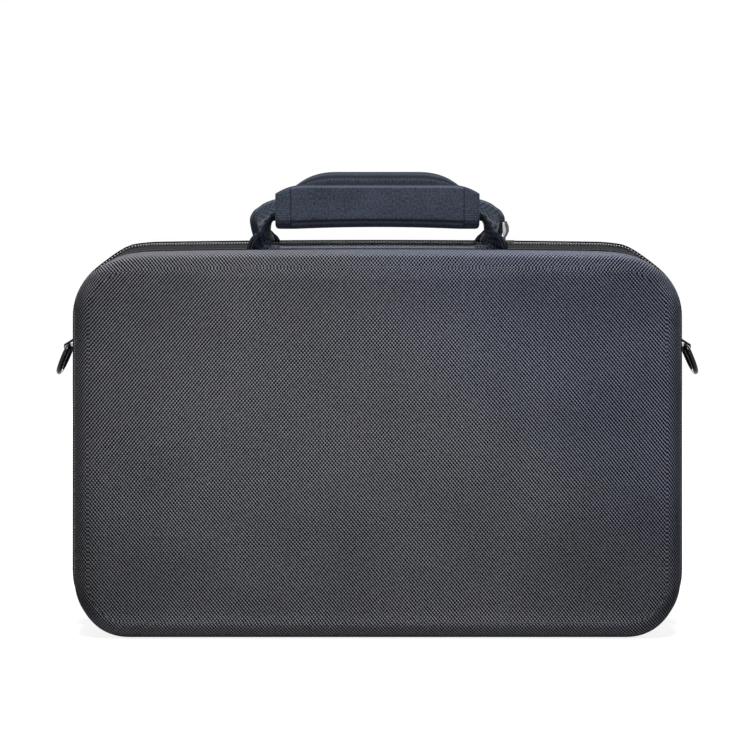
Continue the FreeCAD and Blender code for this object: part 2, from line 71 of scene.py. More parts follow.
class Half(Enum):
    """The two halves of the case: side of the middle plane, body, and first word of piece names."""

    FRONT = (-1.0, "lid", "front")
    REAR = (1.0, "case_back", "rear")

    def __init__(self, sign: float, body: str, word: str) -> None:
        """Names the half's values."""
        self.sign = sign
        self.body = body
        self.word = word


class Side(Enum):
    """The two flanks, as seen from the front: side along X, and last word of piece names."""

    LEFT = (-1.0, "left")
    RIGHT = (1.0, "right")

    def __init__(self, sign: float, word: str) -> None:
        """Names the side's values."""
        self.sign = sign
        self.word = word


class Tree:
    """Adds and links the nodes of one tree in short calls."""

    def __init__(self, tree: bpy.types.NodeTree) -> None:
        """Takes the tree to work in."""
        self.nodes = tree.nodes
        self.links = tree.links

    def node(self, kind: str, **settings: object) -> bpy.types.Node:
        """Adds a node.

        Args:
            kind: Blender's name for the node type.
            settings: properties of the node.

        Returns:
            The node.
        """
        made = self.nodes.new(kind)
        for name, value in settings.items():
            setattr(made, name, value)
        return made

    def feed(self, socket: Socket, value: Number) -> None:
        """Links a socket, or sets it to a number."""
        if isinstance(value, Socket):
            self.links.new(value, socket)
        else:
            socket.default_value = value

    def math(self, operation: str, *values: Number) -> Socket:
        """Adds a Math node.

        Args:
            operation: what the node does.
            values: its inputs.

        Returns:
            The result.
        """
        made = self.node("ShaderNodeMath", operation=operation)
        for socket, value in zip(made.inputs, values):
            self.feed(socket, value)
        return made.outputs[0]

    def between(self, value: Number, low: float, high: float) -> Socket:
        """Gives 0 below low, 1 above high, and a smooth rise between them."""
        made = self.node("ShaderNodeMapRange", interpolation_type="SMOOTHSTEP")
        self.feed(made.inputs["Value"], value)
        made.inputs["From Min"].default_value = low
        made.inputs["From Max"].default_value = high
        return made.outputs[0]


class Graph(Tree):
    """Wires the nodes of one material in short calls."""

    def __init__(self, name: str, **sockets: float) -> None:
        """Starts a material.

        Args:
            name: name of the material.
            sockets: constant shader inputs, with _ for each space in their names.
        """
        self.material = bpy.data.materials.new(name)
        self.material.use_nodes = True
        super().__init__(self.material.node_tree)
        self.shader = self.nodes["Principled BSDF"]
        for socket, value in sockets.items():
            self.shader.inputs[socket.replace("_", " ")].default_value = value

    def plane(self) -> tuple[Socket, Socket]:
        """Gives the flat cloth coordinates, in millimetres."""
        made = self.node("ShaderNodeSeparateXYZ")
        self.feed(made.inputs[0], self.node("ShaderNodeTexCoord").outputs["UV"])
        return made.outputs[0], made.outputs[1]

    def noise(
        self, scale: float, detail: float = 2.0, stretch: Triple = (1.0, 1.0, 1.0), on_cloth: bool = False
    ) -> Socket:
        """Adds smooth noise.

        Args:
            scale: features per metre, or per millimetre on cloth coordinates.
            detail: octaves.
            stretch: scale along each axis.
            on_cloth: follow the flat cloth coordinates rather than space.

        Returns:
            A value about a middle of one half.
        """
        coords = self.node("ShaderNodeTexCoord").outputs["UV" if on_cloth else "Object"]
        mapping = self.node("ShaderNodeMapping")
        mapping.inputs["Scale"].default_value = stretch
        self.links.new(coords, mapping.inputs["Vector"])
        made = self.node("ShaderNodeTexNoise")
        made.inputs["Scale"].default_value = scale
        made.inputs["Detail"].default_value = detail
        self.links.new(mapping.outputs[0], made.inputs["Vector"])
        return made.outputs[0]

    def wave(self, along: Number, pitch: float, shift: Number = 0.0) -> Socket:
        """Gives a sine that changes sign once per pitch.

        Args:
            along: coordinate in millimetres.
            pitch: half a wavelength in millimetres.
            shift: phase in radians.

        Returns:
            A value from -1 to 1.
        """
        return self.math("SINE", self.math("MULTIPLY_ADD", along, math.pi / pitch, shift))

    def facing_up(self, low: float, high: float) -> Socket:
        """Gives 1 where the surface faces up and 0 where it faces sideways or down."""
        split = self.node("ShaderNodeSeparateXYZ")
        self.feed(split.inputs[0], self.node("ShaderNodeTexCoord").outputs["Normal"])
        return self.between(split.outputs[2], low, high)

    def tint(self, share: Number, dark: Number | Colour, light: Number | Colour) -> Socket:
        """Mixes two colours.

        Args:
            share: 0 for the first colour, 1 for the second.
            dark: first colour.
            light: second colour.

        Returns:
            The colour.
        """
        made = self.node("ShaderNodeMix", data_type="RGBA")
        self.feed(made.inputs[0], share)
        for socket, value in ((made.inputs[6], dark), (made.inputs[7], light)):
            self.feed(socket, (*value, 1.0) if isinstance(value, tuple) else value)
        return made.outputs[2]

    def paint(self, colour: Socket) -> None:
        """Takes a colour to the shader."""
        self.links.new(colour, self.shader.inputs["Base Color"])

    def gloss(self, share: Socket, low: float, high: float) -> None:
        """Lets the roughness wander between two values."""
        made = self.node("ShaderNodeMapRange")
        self.feed(made.inputs["Value"], share)
        made.inputs["To Min"].default_value = low
        made.inputs["To Max"].default_value = high
        self.links.new(made.outputs[0], self.shader.inputs["Roughness"])

    def bump(self, height: Socket, distance: float, strength: float = 1.0) -> None:
        """Takes a height, 0 to 1, to the shader's normal.

        Args:
            height: surface height.
            distance: height in millimetres.
            strength: share of the effect.
        """
        made = self.node("ShaderNodeBump")
        made.inputs["Distance"].default_value = distance * MM
        made.inputs["Strength"].default_value = strength
        self.links.new(height, made.inputs["Height"])
        self.links.new(made.outputs[0], self.shader.inputs["Normal"])


@dataclass(frozen=True)
class ShellWeave:
    """Coarse two-tone plain weave laminated over the moulded foam, with painted shade and painted highlights
    over its tone.
    """

    pitch_across: float = 1.173
    pitch_up: float = 1.398
    dark: Colour = (0.0015, 0.0015, 0.002)
    light: Colour = (0.195, 0.199, 0.224)
    # Colour of the painted blue light on the light yarn.
    painted_blue_light: Colour = (0.178, 0.193, 0.256)
    middle_tone: float = 0.78
    # How much the rising diagonal outweighs the falling one: per millimetre across, up, and at the origin.
    slant: Triple = (-0.0013, 0.0010, -0.24)
    low_rows: Pair = (135.0, 85.0)
    low_slant: float = -0.17
    top_rows: Pair = (247.0, 253.0)
    top_turn: float = -2.4
    slub: float = 0.44
    yarn_edge: Pair = (-0.3, 0.5)
    cloud: float = 0.5
    # Painted shade, darker towards both sides: the brightest column, where the painted shade starts, where it
    # is full, its amount.
    beside: tuple[float, float, float, float] = (-24.0, 60.0, 250.0, -0.28)
    # Painted blue light: the light yarn turns bluer towards the upper right, along a line of this lean and
    # over this span.
    painted_blue_light_lean: float = 0.9
    painted_blue_light_span: Pair = (130.0, 330.0)
    # Painted light and shade up the cloth: painted shade towards the bottom, painted shade on the upper face,
    # a painted highlight along the top shoulder and painted floor bounce along the bottom edge; for each,
    # where it starts, where it is full, and its amount.
    painted_light_bands: tuple[Triple, ...] = (
        (130.0, 20.0, -0.2), (180.0, 240.0, -0.15), (246.0, 254.0, 0.26), (24.0, 6.0, 0.34),
    )
    # Painted shade on the left edge: where it starts, where it is full, and its amount.
    painted_left_shade: Triple = (-186.0, -204.0, -0.2)

    def make(self) -> Material:
        """Builds the material."""
        g = Graph("shell_weave", Specular_IOR_Level=0.04)
        u, v = g.plane()
        warp = g.math("MULTIPLY", u, math.pi / self.pitch_across)
        weft = g.math("MULTIPLY", v, math.pi / self.pitch_up)
        across, up, base = self.slant
        slant = g.math("MULTIPLY_ADD", u, across, g.math("MULTIPLY_ADD", v, up, base))
        low = g.between(v, *self.low_rows)
        kept = g.math("SUBTRACT", 1.0, low)
        slant = g.math("MULTIPLY_ADD", slant, kept, g.math("MULTIPLY", low, self.low_slant))
        turned = g.math("MULTIPLY_ADD", g.between(v, *self.top_rows), self.top_turn, 1.0)
        slant = g.math("MULTIPLY", slant, turned)
        rising = g.math("COSINE", g.math("SUBTRACT", warp, weft))
        rising = g.math("MULTIPLY", rising, g.math("ADD", slant, 1.0))
        falling = g.math("COSINE", g.math("ADD", warp, weft))
        falling = g.math("MULTIPLY", falling, g.math("SUBTRACT", 1.0, slant))
        cell = g.math("MULTIPLY", g.math("SUBTRACT", rising, falling), 0.5)
        slub = g.noise(0.42, 2.0, (1.0, 0.7, 1.0), on_cloth=True)
        uneven = g.math("MULTIPLY_ADD", slub, self.slub, g.math("SUBTRACT", cell, self.slub / 2))
        cloud = g.noise(16.0, 3.0)
        # Painted shade: the cloth is coloured darker away from one bright column, towards both sides.
        bright, start, full, amount = self.beside
        away = g.between(g.math("ABSOLUTE", g.math("SUBTRACT", u, bright)), start, full)
        tone = g.math("MULTIPLY_ADD", away, amount, self.middle_tone)
        # Painted light and shade: the bands up the cloth, then the painted shade on the left edge.
        for along, (start, full, amount) in [*((v, fall) for fall in self.painted_light_bands), (u, self.painted_left_shade)]:
            tone = g.math("MULTIPLY_ADD", g.between(along, start, full), amount, tone)
        tone = g.math("MULTIPLY_ADD", cloud, self.cloud, tone)
        share = g.math("MULTIPLY", g.between(uneven, *self.yarn_edge), tone)
        # Painted blue light towards the upper right, standing in for a bluish lamp.
        painted_blue_light = g.between(g.math("MULTIPLY_ADD", v, self.painted_blue_light_lean, u), *self.painted_blue_light_span)
        light = g.tint(painted_blue_light, self.light, self.painted_blue_light)
        g.paint(g.tint(share, self.dark, light))
        g.gloss(share, 0.95, 0.8)
        g.bump(g.math("POWER", g.math("ABSOLUTE", cell), 0.6), 0.22)
        return g.material


@dataclass(frozen=True)
class Lining:
    """Brushed knit on the inside of the shells."""

    dark: Colour = (0.020, 0.021, 0.024)
    light: Colour = (0.046, 0.048, 0.054)

    def make(self) -> Material:
        """Builds the material."""
        g = Graph("lining", Specular_IOR_Level=0.2, Sheen_Weight=0.15, Sheen_Roughness=0.4)
        u, v = g.plane()
        loop = g.math("MULTIPLY", g.wave(u, 0.9), g.wave(v, 1.2, g.wave(u, 0.9)))
        nap = g.noise(700.0, 3.0)
        share = g.math("MULTIPLY_ADD", loop, 0.25, nap)
        g.paint(g.tint(share, self.dark, self.light))
        g.gloss(nap, 0.8, 0.95)
        g.bump(share, 0.12)
        return g.material


@dataclass(frozen=True)
class Woven:
    """Narrow woven goods: tapes, webbing and elastic. Length runs along U."""

    name: str
    pitch_along: float
    pitch_across: float
    dark: Colour
    light: Colour
    relief: float = 0.18
    twill: float = 0.0
    ridges: tuple[float, ...] = ()
    ridge_light: Colour = (0.2, 0.21, 0.23)
    # Painted light: within this distance of the middle the cloth turns towards a lighter colour, given next.
    painted_light_to: float = 0.0
    painted_light: Colour = (0.2, 0.21, 0.23)

    def make(self) -> Material:
        """Builds the material."""
        g = Graph(self.name, Specular_IOR_Level=0.1, Sheen_Weight=0.02)
        u, v = g.plane()
        lean = g.math("MULTIPLY_ADD", g.math("ABSOLUTE", v), self.twill, u)
        cell = g.math("MULTIPLY", g.wave(lean, self.pitch_along), g.wave(v, self.pitch_across))
        fibre = g.noise(1.4, 2.0, on_cloth=True)
        share = g.between(g.math("MULTIPLY_ADD", fibre, 0.9, g.math("SUBTRACT", cell, 0.45)), -0.8, 0.8)
        colour = g.tint(share, self.dark, self.light)
        # Painted light on the tape between the straps, lifting the handle's shadow there.
        if self.painted_light_to:
            near = g.between(g.math("ABSOLUTE", u), self.painted_light_to + 5.0, self.painted_light_to - 5.0)
            colour = g.tint(g.math("MULTIPLY", near, share), colour, self.painted_light)
        for ridge in self.ridges:
            away = g.math("ABSOLUTE", g.math("SUBTRACT", g.math("ABSOLUTE", v), ridge))
            colour = g.tint(g.between(away, 0.8, 0.2), colour, self.ridge_light)
        g.paint(colour)
        g.gloss(fibre, 0.6, 0.85)
        g.bump(g.math("ABSOLUTE", cell), self.relief)
        return g.material


@dataclass(frozen=True)
class GripCloth:
    """Soft cloth over the grip's foam: ribbed hems beyond the end seams, and a seam that runs along it, with
    painted highlights and painted shade.
    """

    name: str
    seam: float
    channel: float
    dark: Colour
    light: Colour
    # Colour of the painted highlights below the sewn channel and along the top edge.
    painted_highlight_colour: Colour = (0.15, 0.165, 0.21)
    # Colour of the painted shade in the seam grooves.
    groove_shade: Colour = (0.006, 0.007, 0.010)

    def make(self) -> Material:
        """Builds the material."""
        g = Graph(self.name, Specular_IOR_Level=0.1, Sheen_Weight=0.04, Sheen_Roughness=0.5)
        u, v = g.plane()
        away = g.math("ABSOLUTE", u)
        fine = g.math("MULTIPLY", g.wave(u, 0.6), g.wave(v, 0.75))
        rib = g.wave(v, 0.85, g.noise(0.5, 1.0, on_cloth=True))
        hem = g.between(away, self.seam - 0.4, self.seam + 0.4)
        pattern = g.node("ShaderNodeMix")
        g.feed(pattern.inputs[0], hem)
        g.feed(pattern.inputs[2], fine)
        g.feed(pattern.inputs[3], rib)
        slub = g.noise(0.8, 3.0, (1.0, 0.7, 1.0), on_cloth=True)
        cloud = g.noise(60.0, 3.0)
        share = g.math("MULTIPLY_ADD", pattern.outputs[0], 0.2, g.math("MULTIPLY_ADD", slub, 1.9, -0.75))
        share = g.math("MULTIPLY_ADD", cloud, 0.7, g.math("SUBTRACT", share, 0.1))
        colour = g.tint(share, self.dark, self.light)
        off_seam = g.math("ABSOLUTE", g.math("SUBTRACT", away, self.seam))
        off_line = g.math("SUBTRACT", v, self.channel)
        inside = g.between(away, self.seam + 0.2, self.seam - 0.2)
        fold = g.between(g.math("ABSOLUTE", off_line), 0.75, 0.2)
        # Painted highlights: a light line on the welt below the sewn channel, and one along the top edge,
        # where light catches them.
        edge = g.between(g.math("ABSOLUTE", g.math("SUBTRACT", off_line, 1.6)), 0.9, 0.2)
        top_edge_highlight = g.between(g.math("ABSOLUTE", g.math("SUBTRACT", v, 1.3)), 1.0, 0.2)
        glint = g.math("MULTIPLY", g.math("MAXIMUM", edge, top_edge_highlight), g.math("MULTIPLY", inside, 0.34))
        colour = g.tint(glint, colour, self.painted_highlight_colour)
        # Painted shade: cloth that faces up is coloured darker, against the light from the top lamp.
        colour = g.tint(g.math("MULTIPLY", g.facing_up(0.3, 0.85), 0.72), colour, self.dark)
        # Painted shade: dark lines in the grooves of the end seams and of the sewn channel.
        dark = g.math("MAXIMUM", g.between(off_seam, 0.7, 0.15), g.math("MULTIPLY", fold, inside))
        g.paint(g.tint(g.math("MULTIPLY", dark, 0.75), colour, self.groove_shade))
        g.gloss(slub, 0.8, 0.95)
        g.bump(share, 0.14)
        return g.material


@dataclass(frozen=True)
class Thread:
    """Sewing thread with a twist."""

    dark: Colour = (0.020, 0.022, 0.028)
    light: Colour = (0.075, 0.080, 0.095)

    def make(self) -> Material:
        """Builds the material."""
        g = Graph("thread", Specular_IOR_Level=0.4)
        ply = g.noise(2600.0, 1.0)
        g.paint(g.tint(ply, self.dark, self.light))
        g.gloss(ply, 0.45, 0.65)
        g.bump(ply, 0.05)
        return g.material


@dataclass(frozen=True)
class Moulded:
    """Plastic or coated metal: base colours, and the gloss that handling leaves uneven."""

    name: str
    dark: Colour
    light: Colour
    smooth: float
    worn: float
    metallic: float = 0.0
    coat: float = 0.0
    grain: float = 900.0
    shine: float = 0.35

    def make(self) -> Material:
        """Builds the material."""
        g = Graph(self.name, Metallic=self.metallic, Specular_IOR_Level=self.shine,
                  Coat_Weight=self.coat, Coat_Roughness=0.08)
        wear = g.noise(120.0, 4.0)
        speck = g.noise(self.grain, 2.0)
        share = g.math("MULTIPLY_ADD", speck, 0.5, g.math("MULTIPLY", wear, 0.5))
        g.paint(g.tint(share, self.dark, self.light))
        g.gloss(wear, self.smooth, self.worn)
        g.bump(speck, 0.02)
        return g.material


@dataclass(frozen=True)
class Pile:
    """Hook or loop face of the touch fastener."""

    name: str
    dark: Colour = (0.008, 0.008, 0.010)
    light: Colour = (0.050, 0.052, 0.060)

    def make(self) -> Material:
        """Builds the material."""
        g = Graph(self.name, Specular_IOR_Level=0.25, Sheen_Weight=0.2)
        tuft = g.noise(1500.0, 3.0)
        g.paint(g.tint(g.between(tuft, 0.3, 0.7), self.dark, self.light))
        g.gloss(tuft, 0.7, 0.95)
        g.bump(tuft, 0.5)
        return g.material


class Palette:
    """Every finish on the case, made once."""

    def __init__(self) -> None:
        """Makes the materials."""
        self.shell = ShellWeave().make()
        self.lining = Lining().make()
        # The zip tape is painted lighter between the straps, against the handle's shadow.
        self.tape = Woven(
            "zip_tape_weave", 1.6, 1.2, (0.002, 0.002, 0.003), (0.026, 0.026, 0.029), 0.3,
            painted_light_to=74.0, painted_light=(0.37, 0.405, 0.50),
        ).make()
        self.binding = Woven(
            "binding_weave", 0.7, 1.1, (0.012, 0.013, 0.016), (0.045, 0.048, 0.056), 0.15
        ).make()
        self.webbing = Woven(
            "strap_webbing", 2.0, 1.8, (0.001, 0.002, 0.004), (0.030, 0.041, 0.060), 0.25, 0.6,
            WEBBING_RIDGES, (0.08, 0.09, 0.115),
        ).make()
        self.tie = Woven(
            "hold_down_webbing", 1.1, 1.6, (0.010, 0.011, 0.013), (0.050, 0.053, 0.060), 0.2, 0.7
        ).make()
        self.elastic = Woven(
            "elastic_rib", 0.9, 2.2, (0.010, 0.010, 0.012), (0.055, 0.058, 0.066), 0.25
        ).make()
        self.gusset = Woven(
            "hinge_cloth", 0.8, 0.8, (0.014, 0.015, 0.018), (0.060, 0.064, 0.074), 0.12
        ).make()
        self.grip = GripCloth("grip_cloth", 61.0, 25.0, (0.014, 0.018, 0.028), (0.060, 0.070, 0.100)).make()
        self.flap = GripCloth(
            "grip_flap_cloth", 61.0, 14.3, (0.010, 0.013, 0.020), (0.034, 0.043, 0.062)
        ).make()
        self.thread = Thread().make()
        # The coil is coloured light grey, a painted highlight on its loops.
        self.coil = Moulded("coil_plastic_painted_highlight", (0.24, 0.24, 0.25), (0.42, 0.42, 0.43), 0.25, 0.45).make()
        # Dark cord: the zip's chain cords, and also the painted crease shadow along the tape's foot.
        self.cord = Woven("chain_cord_and_crease_shadow", 0.7, 0.7, (0.002, 0.002, 0.003), (0.010, 0.010, 0.013), 0.1).make()
        # Painted highlight along the lip of the rim.
        self.lip = Woven("tape_lip_highlight", 1.6, 0.7, (0.030, 0.031, 0.035), (0.115, 0.12, 0.135), 0.1).make()
        self.ring = Moulded(
            "ring_enamel", (0.002, 0.002, 0.003), (0.006, 0.006, 0.008), 0.10, 0.18, shine=0.2
        ).make()
        self.slider = Moulded(
            "slider_enamel", (0.012, 0.012, 0.014), (0.035, 0.036, 0.040), 0.22, 0.42, 0.6, 0.3
        ).make()
        # Painted reflection: pale colour for the white backdrop mirrored in the right pull.
        self.plate = Moulded("pull_painted_reflection", (0.34, 0.34, 0.35), (0.60, 0.60, 0.61), 0.25, 0.45).make()
        self.hook = Pile("hook_face").make()
        self.loop = Pile("loop_face", (0.012, 0.012, 0.014), (0.060, 0.062, 0.070)).make()
        self.net = Moulded(
            "net_thread", (0.010, 0.010, 0.012), (0.040, 0.042, 0.048), 0.6, 0.85, grain=2500.0
        ).make()


class Skin:
    """Collects patches of faces, in millimetres, and turns them into one mesh object."""

    def __init__(self) -> None:
        """Starts with no faces."""
        self.points: list[np.ndarray] = []
        self.cloth: list[np.ndarray] = []
        self.faces: list[tuple[int, ...]] = []
        self.slots: list[int] = []
        self.count = 0

    def add(self, points: np.ndarray, cloth: np.ndarray) -> np.ndarray:
        """Adds points.

        Args:
            points: rows of X, Y, Z.
            cloth: rows of flat cloth coordinates.

        Returns:
            The new points' numbers.
        """
        numbers = np.arange(len(points)) + self.count
        self.points.append(np.asarray(points, float))
        self.cloth.append(np.asarray(cloth, float))
        self.count += len(points)
        return numbers

    def patch(self, points: np.ndarray, cloth: np.ndarray, slot: int = 0, closed: bool = False) -> None:
        """Adds a grid of quads.

        Args:
            points: grid of X, Y, Z, as (rows, columns, 3).
            cloth: grid of cloth coordinates, as (rows, columns, 2).
            slot: material number.
            closed: join the last column to the first.
        """
        rows, columns = points.shape[:2]
        grid = self.add(points.reshape(-1, 3), cloth.reshape(-1, 2)).reshape(rows, columns)
        if closed:
            grid = np.hstack([grid, grid[:, :1]])
        quads = np.stack([grid[:-1, :-1], grid[:-1, 1:], grid[1:, 1:], grid[1:, :-1]], axis=-1).reshape(-1, 4)
        self.faces += [tuple(q) for q in quads.tolist()]
        self.slots += [slot] * len(quads)

    def tube(self, rings: np.ndarray, cloth: np.ndarray, slot: int = 0) -> None:
        """Adds a closed tube of rings with both ends capped.

        Args:
            rings: (rings, points, 3).
            cloth: (rings, points, 2).
            slot: material number.
        """
        self.patch(rings, cloth, slot, True)
        for end in (0, -1):
            numbers = self.add(rings[end], cloth[end])
            self.faces.append(tuple(numbers.tolist()))
            self.slots.append(slot)

    def build(self, name: str, finishes: Sequence[Material], sharp: float = 50.0) -> Object:
        """Makes the mesh object.

        Args:
            name: name of the piece.
            finishes: its materials, in slot order.
            sharp: faces that meet at more than this angle, in degrees, keep a hard edge.

        Returns:
            The object, in metres.
        """
        mesh = bpy.data.meshes.new(name)
        mesh.from_pydata((np.concatenate(self.points) * MM).tolist(), [], self.faces)
        layer = mesh.uv_layers.new(name="cloth")
        corners = np.empty(len(mesh.loops), dtype=np.int32)
        mesh.loops.foreach_get("vertex_index", corners)
        layer.data.foreach_set("uv", np.concatenate(self.cloth)[corners].astype(np.float32).ravel())
        mesh.polygons.foreach_set("material_index", np.array(self.slots, dtype=np.int32))
        work = bmesh.new()
        work.from_mesh(mesh)
        bmesh.ops.remove_doubles(work, verts=work.verts, dist=2e-6)
        bmesh.ops.dissolve_degenerate(work, edges=work.edges, dist=1e-6)
        bmesh.ops.recalc_face_normals(work, faces=work.faces)
        work.to_mesh(mesh)
        work.free()
        for finish in finishes:
            mesh.materials.append(finish)
        mesh.shade_smooth()
        mesh.set_sharp_from_angle(angle=math.radians(sharp))
        piece = bpy.data.objects.new(name, mesh)
        bpy.context.scene.collection.objects.link(piece)
        return piece


def settle(piece: Object, body: str, slot: str, *nodes: str) -> Object:
    """Puts a piece on its body and in the place of its solids.

    Args:
        piece: the piece.
        body: body that it moves with.
        slot: not used.
        nodes: solids that it stands for.

    Returns:
        The piece.
    """
    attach(piece, body)
    if nodes:
        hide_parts(*nodes)
    log.info("%s rides on %s, %d faces", piece.name, body, len(piece.data.polygons))
    return piece


def dress_solid(node: str, finish: Material) -> None:
    """Gives a solid that stays in view its finish.

    Args:
        node: name of the solid.
        finish: its material.
    """
    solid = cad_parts[node]
    if not solid.material_slots:
        solid.data.materials.append(finish)
    for entry in solid.material_slots:
        entry.material = finish
    log.info("%s stays in view", node)


def arc(
    centre: Pair, radius: float, start: float, end: float, steps: int
) -> list[Pair]:
    """Gives points on an arc.

    Args:
        centre: its centre.
        radius: its radius.
        start: first angle in degrees.
        end: last angle in degrees.
        steps: number of steps.

    Returns:
        The points, both ends included.
    """
    angles = np.radians(np.linspace(start, end, steps + 1))
    return [(centre[0] + radius * math.cos(a), centre[1] + radius * math.sin(a)) for a in angles]


def lengths(points: np.ndarray) -> np.ndarray:
    """Gives the distance run at each point of a line."""
    return np.concatenate([[0.0], np.cumsum(np.linalg.norm(np.diff(points, axis=0), axis=1))])


def unit(rows: np.ndarray) -> np.ndarray:
    """Scales vectors to a length of one."""
    return rows / np.linalg.norm(rows, axis=-1, keepdims=True)


def spread(run: np.ndarray, across: np.ndarray) -> np.ndarray:
    """Gives a grid of cloth coordinates from distances along and across."""
    return np.stack(np.broadcast_arrays(run[:, None], across[None, :]), -1)


def resample(points: np.ndarray, spots: np.ndarray, *others: np.ndarray) -> list[np.ndarray]:
    """Reads a line at given distances.

    Args:
        points: the line.
        spots: distances along it.
        others: other values held at the line's points.

    Returns:
        The line and the other values at those distances.
    """
    run = lengths(points)
    return [np.stack([np.interp(spots, run, column) for column in rows.T], 1) for rows in (points, *others)]


def smooth_step(value: np.ndarray, low: float, high: float) -> np.ndarray:
    """Gives 0 below low, 1 above high, and a smooth rise between them."""
    t = np.clip((value - low) / (high - low), 0.0, 1.0)
    return t * t * (3.0 - 2.0 * t)


def spline(stations: np.ndarray, steps: int) -> np.ndarray:
    """Runs a smooth line through stations.

    Args:
        stations: rows of values.
        steps: points per span.

    Returns:
        Rows along the line.
    """
    padded = np.vstack([2 * stations[0] - stations[1], stations, 2 * stations[-1] - stations[-2]])
    rows = []
    for i in range(1, len(padded) - 2):
        p0, p1, p2, p3 = padded[i - 1 : i + 3]
        for t in np.linspace(0.0, 1.0, steps, endpoint=False):
            rows.append(
                0.5 * (2 * p1 + (p2 - p0) * t + (2 * p0 - 5 * p1 + 4 * p2 - p3) * t**2
                       + (3 * p1 - p0 - 3 * p2 + p3) * t**3)
            )
    rows.append(padded[-2])
    return np.array(rows)


@dataclass(frozen=True)
class Outline:
    """Rounded outline that the shells, zip and hinge follow, seen from the front."""

    half_width: float = 210.0
    height: float = 267.0
    corner: float = 39.0
    arch: float = 2.0
    arch_reach: float = 195.0
    droop: float = 2.8
    droop_span: Pair = (156.0, 192.0)
    tuck: float = 4.6
    tuck_span: Pair = (172.0, 200.0)
    tuck_depth: Pair = (10.0, 13.4)
    lifted: Pair = (140.0, 262.0)
    taper: float = 0.008
    spacing: float = 8.0
    corner_steps: int = 22

    def walk(self) -> tuple[np.ndarray, np.ndarray]:
        """Goes once round the outline.

        Returns:
            Points and outward normals in X and Z, from the lower right corner, up.
        """
        x, low, high = self.half_width - self.corner, self.corner, self.height - self.corner
        points: list[np.ndarray] = []
        normals: list[np.ndarray] = []
        centres = [(x, low, -90.0), (x, high, 0.0), (-x, high, 90.0), (-x, low, 180.0)]
        for cx, cz, start in centres:
            turn = np.radians(np.linspace(start, start + 90.0, self.corner_steps + 1))
            out = np.stack([np.cos(turn), np.sin(turn)], 1)
            points += list(np.array([cx, cz]) + self.corner * out)
            normals += list(out)
            along = np.array([-out[-1][1], out[-1][0]])
            length = high - low if start in (-90.0, 90.0) else 2 * x
            steps = max(2, round(length / self.spacing))
            corner_end = points[-1]
            for i in range(1, steps):
                points.append(corner_end + along * length * i / steps)
                normals.append(out[-1])
        return np.array(points), np.array(normals)

    def stretch(
        self, level: float, spacing: float, over: bool
    ) -> tuple[np.ndarray, np.ndarray, np.ndarray]:
        """Follows the outline over the top or under the bottom, at even spacing.

        Args:
            level: height of both ends.
            spacing: distance between points.
            over: go over the top rather than under the bottom.

        Returns:
            Points, normals, and the distance run at each.
        """
        points, normals = self.walk()
        above = [i for i, p in enumerate(points) if p[1] > level]
        first, last = next(i for i in above if points[i][0] > 0), above[-1]
        order = [*range(first, last + 1)] if over else [*range(last + 1, len(points)), *range(first)]
        total = lengths(points[order])[-1]
        spots = np.linspace(0.0, total, max(2, round(total / spacing)) + 1)
        line, out = resample(points[order], spots, normals[order])
        return line, unit(out), spots

    def lift(self, points: np.ndarray) -> np.ndarray:
        """Arches the top edge, drops its corners and widens the foot, as on the moulded shells.

        Args:
            points: array whose last axis is X, Y, Z.

        Returns:
            The arched points.
        """
        raised = points.copy()
        x, y, z = np.abs(points[..., 0]), np.abs(points[..., 1]), points[..., 2]
        raised[..., 0] *= 1.0 + self.taper * np.clip(1.0 - z / self.height, 0.0, 1.0)
        rise = self.arch * np.clip(1.0 - (x / self.arch_reach) ** 2, 0.0, None)
        droop = self.droop * smooth_step(x, *self.droop_span)
        tuck = self.tuck * smooth_step(x, *self.tuck_span) * (1.0 - smooth_step(y, *self.tuck_depth))
        raised[..., 2] += (rise - droop - tuck) * smooth_step(z, *self.lifted)
        return raised

    def sweep(
        self, line: np.ndarray, out: np.ndarray, profile: Sequence[Pair], sign: float
    ) -> np.ndarray:
        """Carries a profile along a line.

        Args:
            line: points in X and Z.
            out: outward normals.
            profile: pairs of outward offset and distance from the middle plane.
            sign: side of the middle plane.

        Returns:
            A grid of X, Y, Z, one row per point of the line.
        """
        offset = np.array(profile)
        flat = line[:, None, :] + out[:, None, :] * offset[None, :, :1]
        depth = np.broadcast_to(sign * offset[None, :, 1:], (len(line), len(offset), 1))
        return self.lift(np.concatenate([flat[..., :1], depth, flat[..., 1:]], axis=-1))


class Stitches:
    """Rows of sewn stitches, gathered into one piece."""

    spots = np.array([0.0, 0.2, 0.5, 0.8, 1.0])
    swell = np.array([0.35, 0.9, 1.0, 0.9, 0.35])
    sides = 6
    # A direction that no row of stitches runs along.
    aside = (0.31, 0.77, 0.55)

    def __init__(self, radius: float) -> None:
        """Starts with no stitches.

        Args:
            radius: radius of the thread.
        """
        self.radius = radius
        self.skin = Skin()

    def row(self, line: np.ndarray, pitch: float, share: float = 0.7) -> None:
        """Adds a row of stitches, each thin at both ends.

        Args:
            line: points that the row follows, on the surface.
            pitch: length of one stitch and its gap.
            share: part of the pitch that shows.
        """
        total = lengths(line)[-1]
        count = max(1, int(total / pitch))
        turn = np.linspace(0.0, 2 * math.pi, self.sides, endpoint=False)[:, None]
        for i in range(count):
            start = (i + 0.5 * (1.0 - share)) * total / count
            middle = resample(line, start + self.spots * share * total / count)[0]
            along = unit(middle[-1] - middle[0])
            side = unit(np.cross(along, self.aside))
            ring = side * np.cos(turn) + np.cross(along, side) * np.sin(turn)
            grid = middle[:, None, :] + ring[None] * (self.swell * self.radius)[:, None, None]
            self.skin.tube(grid, np.zeros((*grid.shape[:2], 2)))

    def build(self, name: str, finish: Material) -> Object:
        """Makes the piece."""
        return self.skin.build(name, [finish], 80.0)


@dataclass(frozen=True)
class Roll:
    """How a wall meets the panel: how far it draws in first, then the bend's two radii."""

    draft: float
    across: float
    along: float


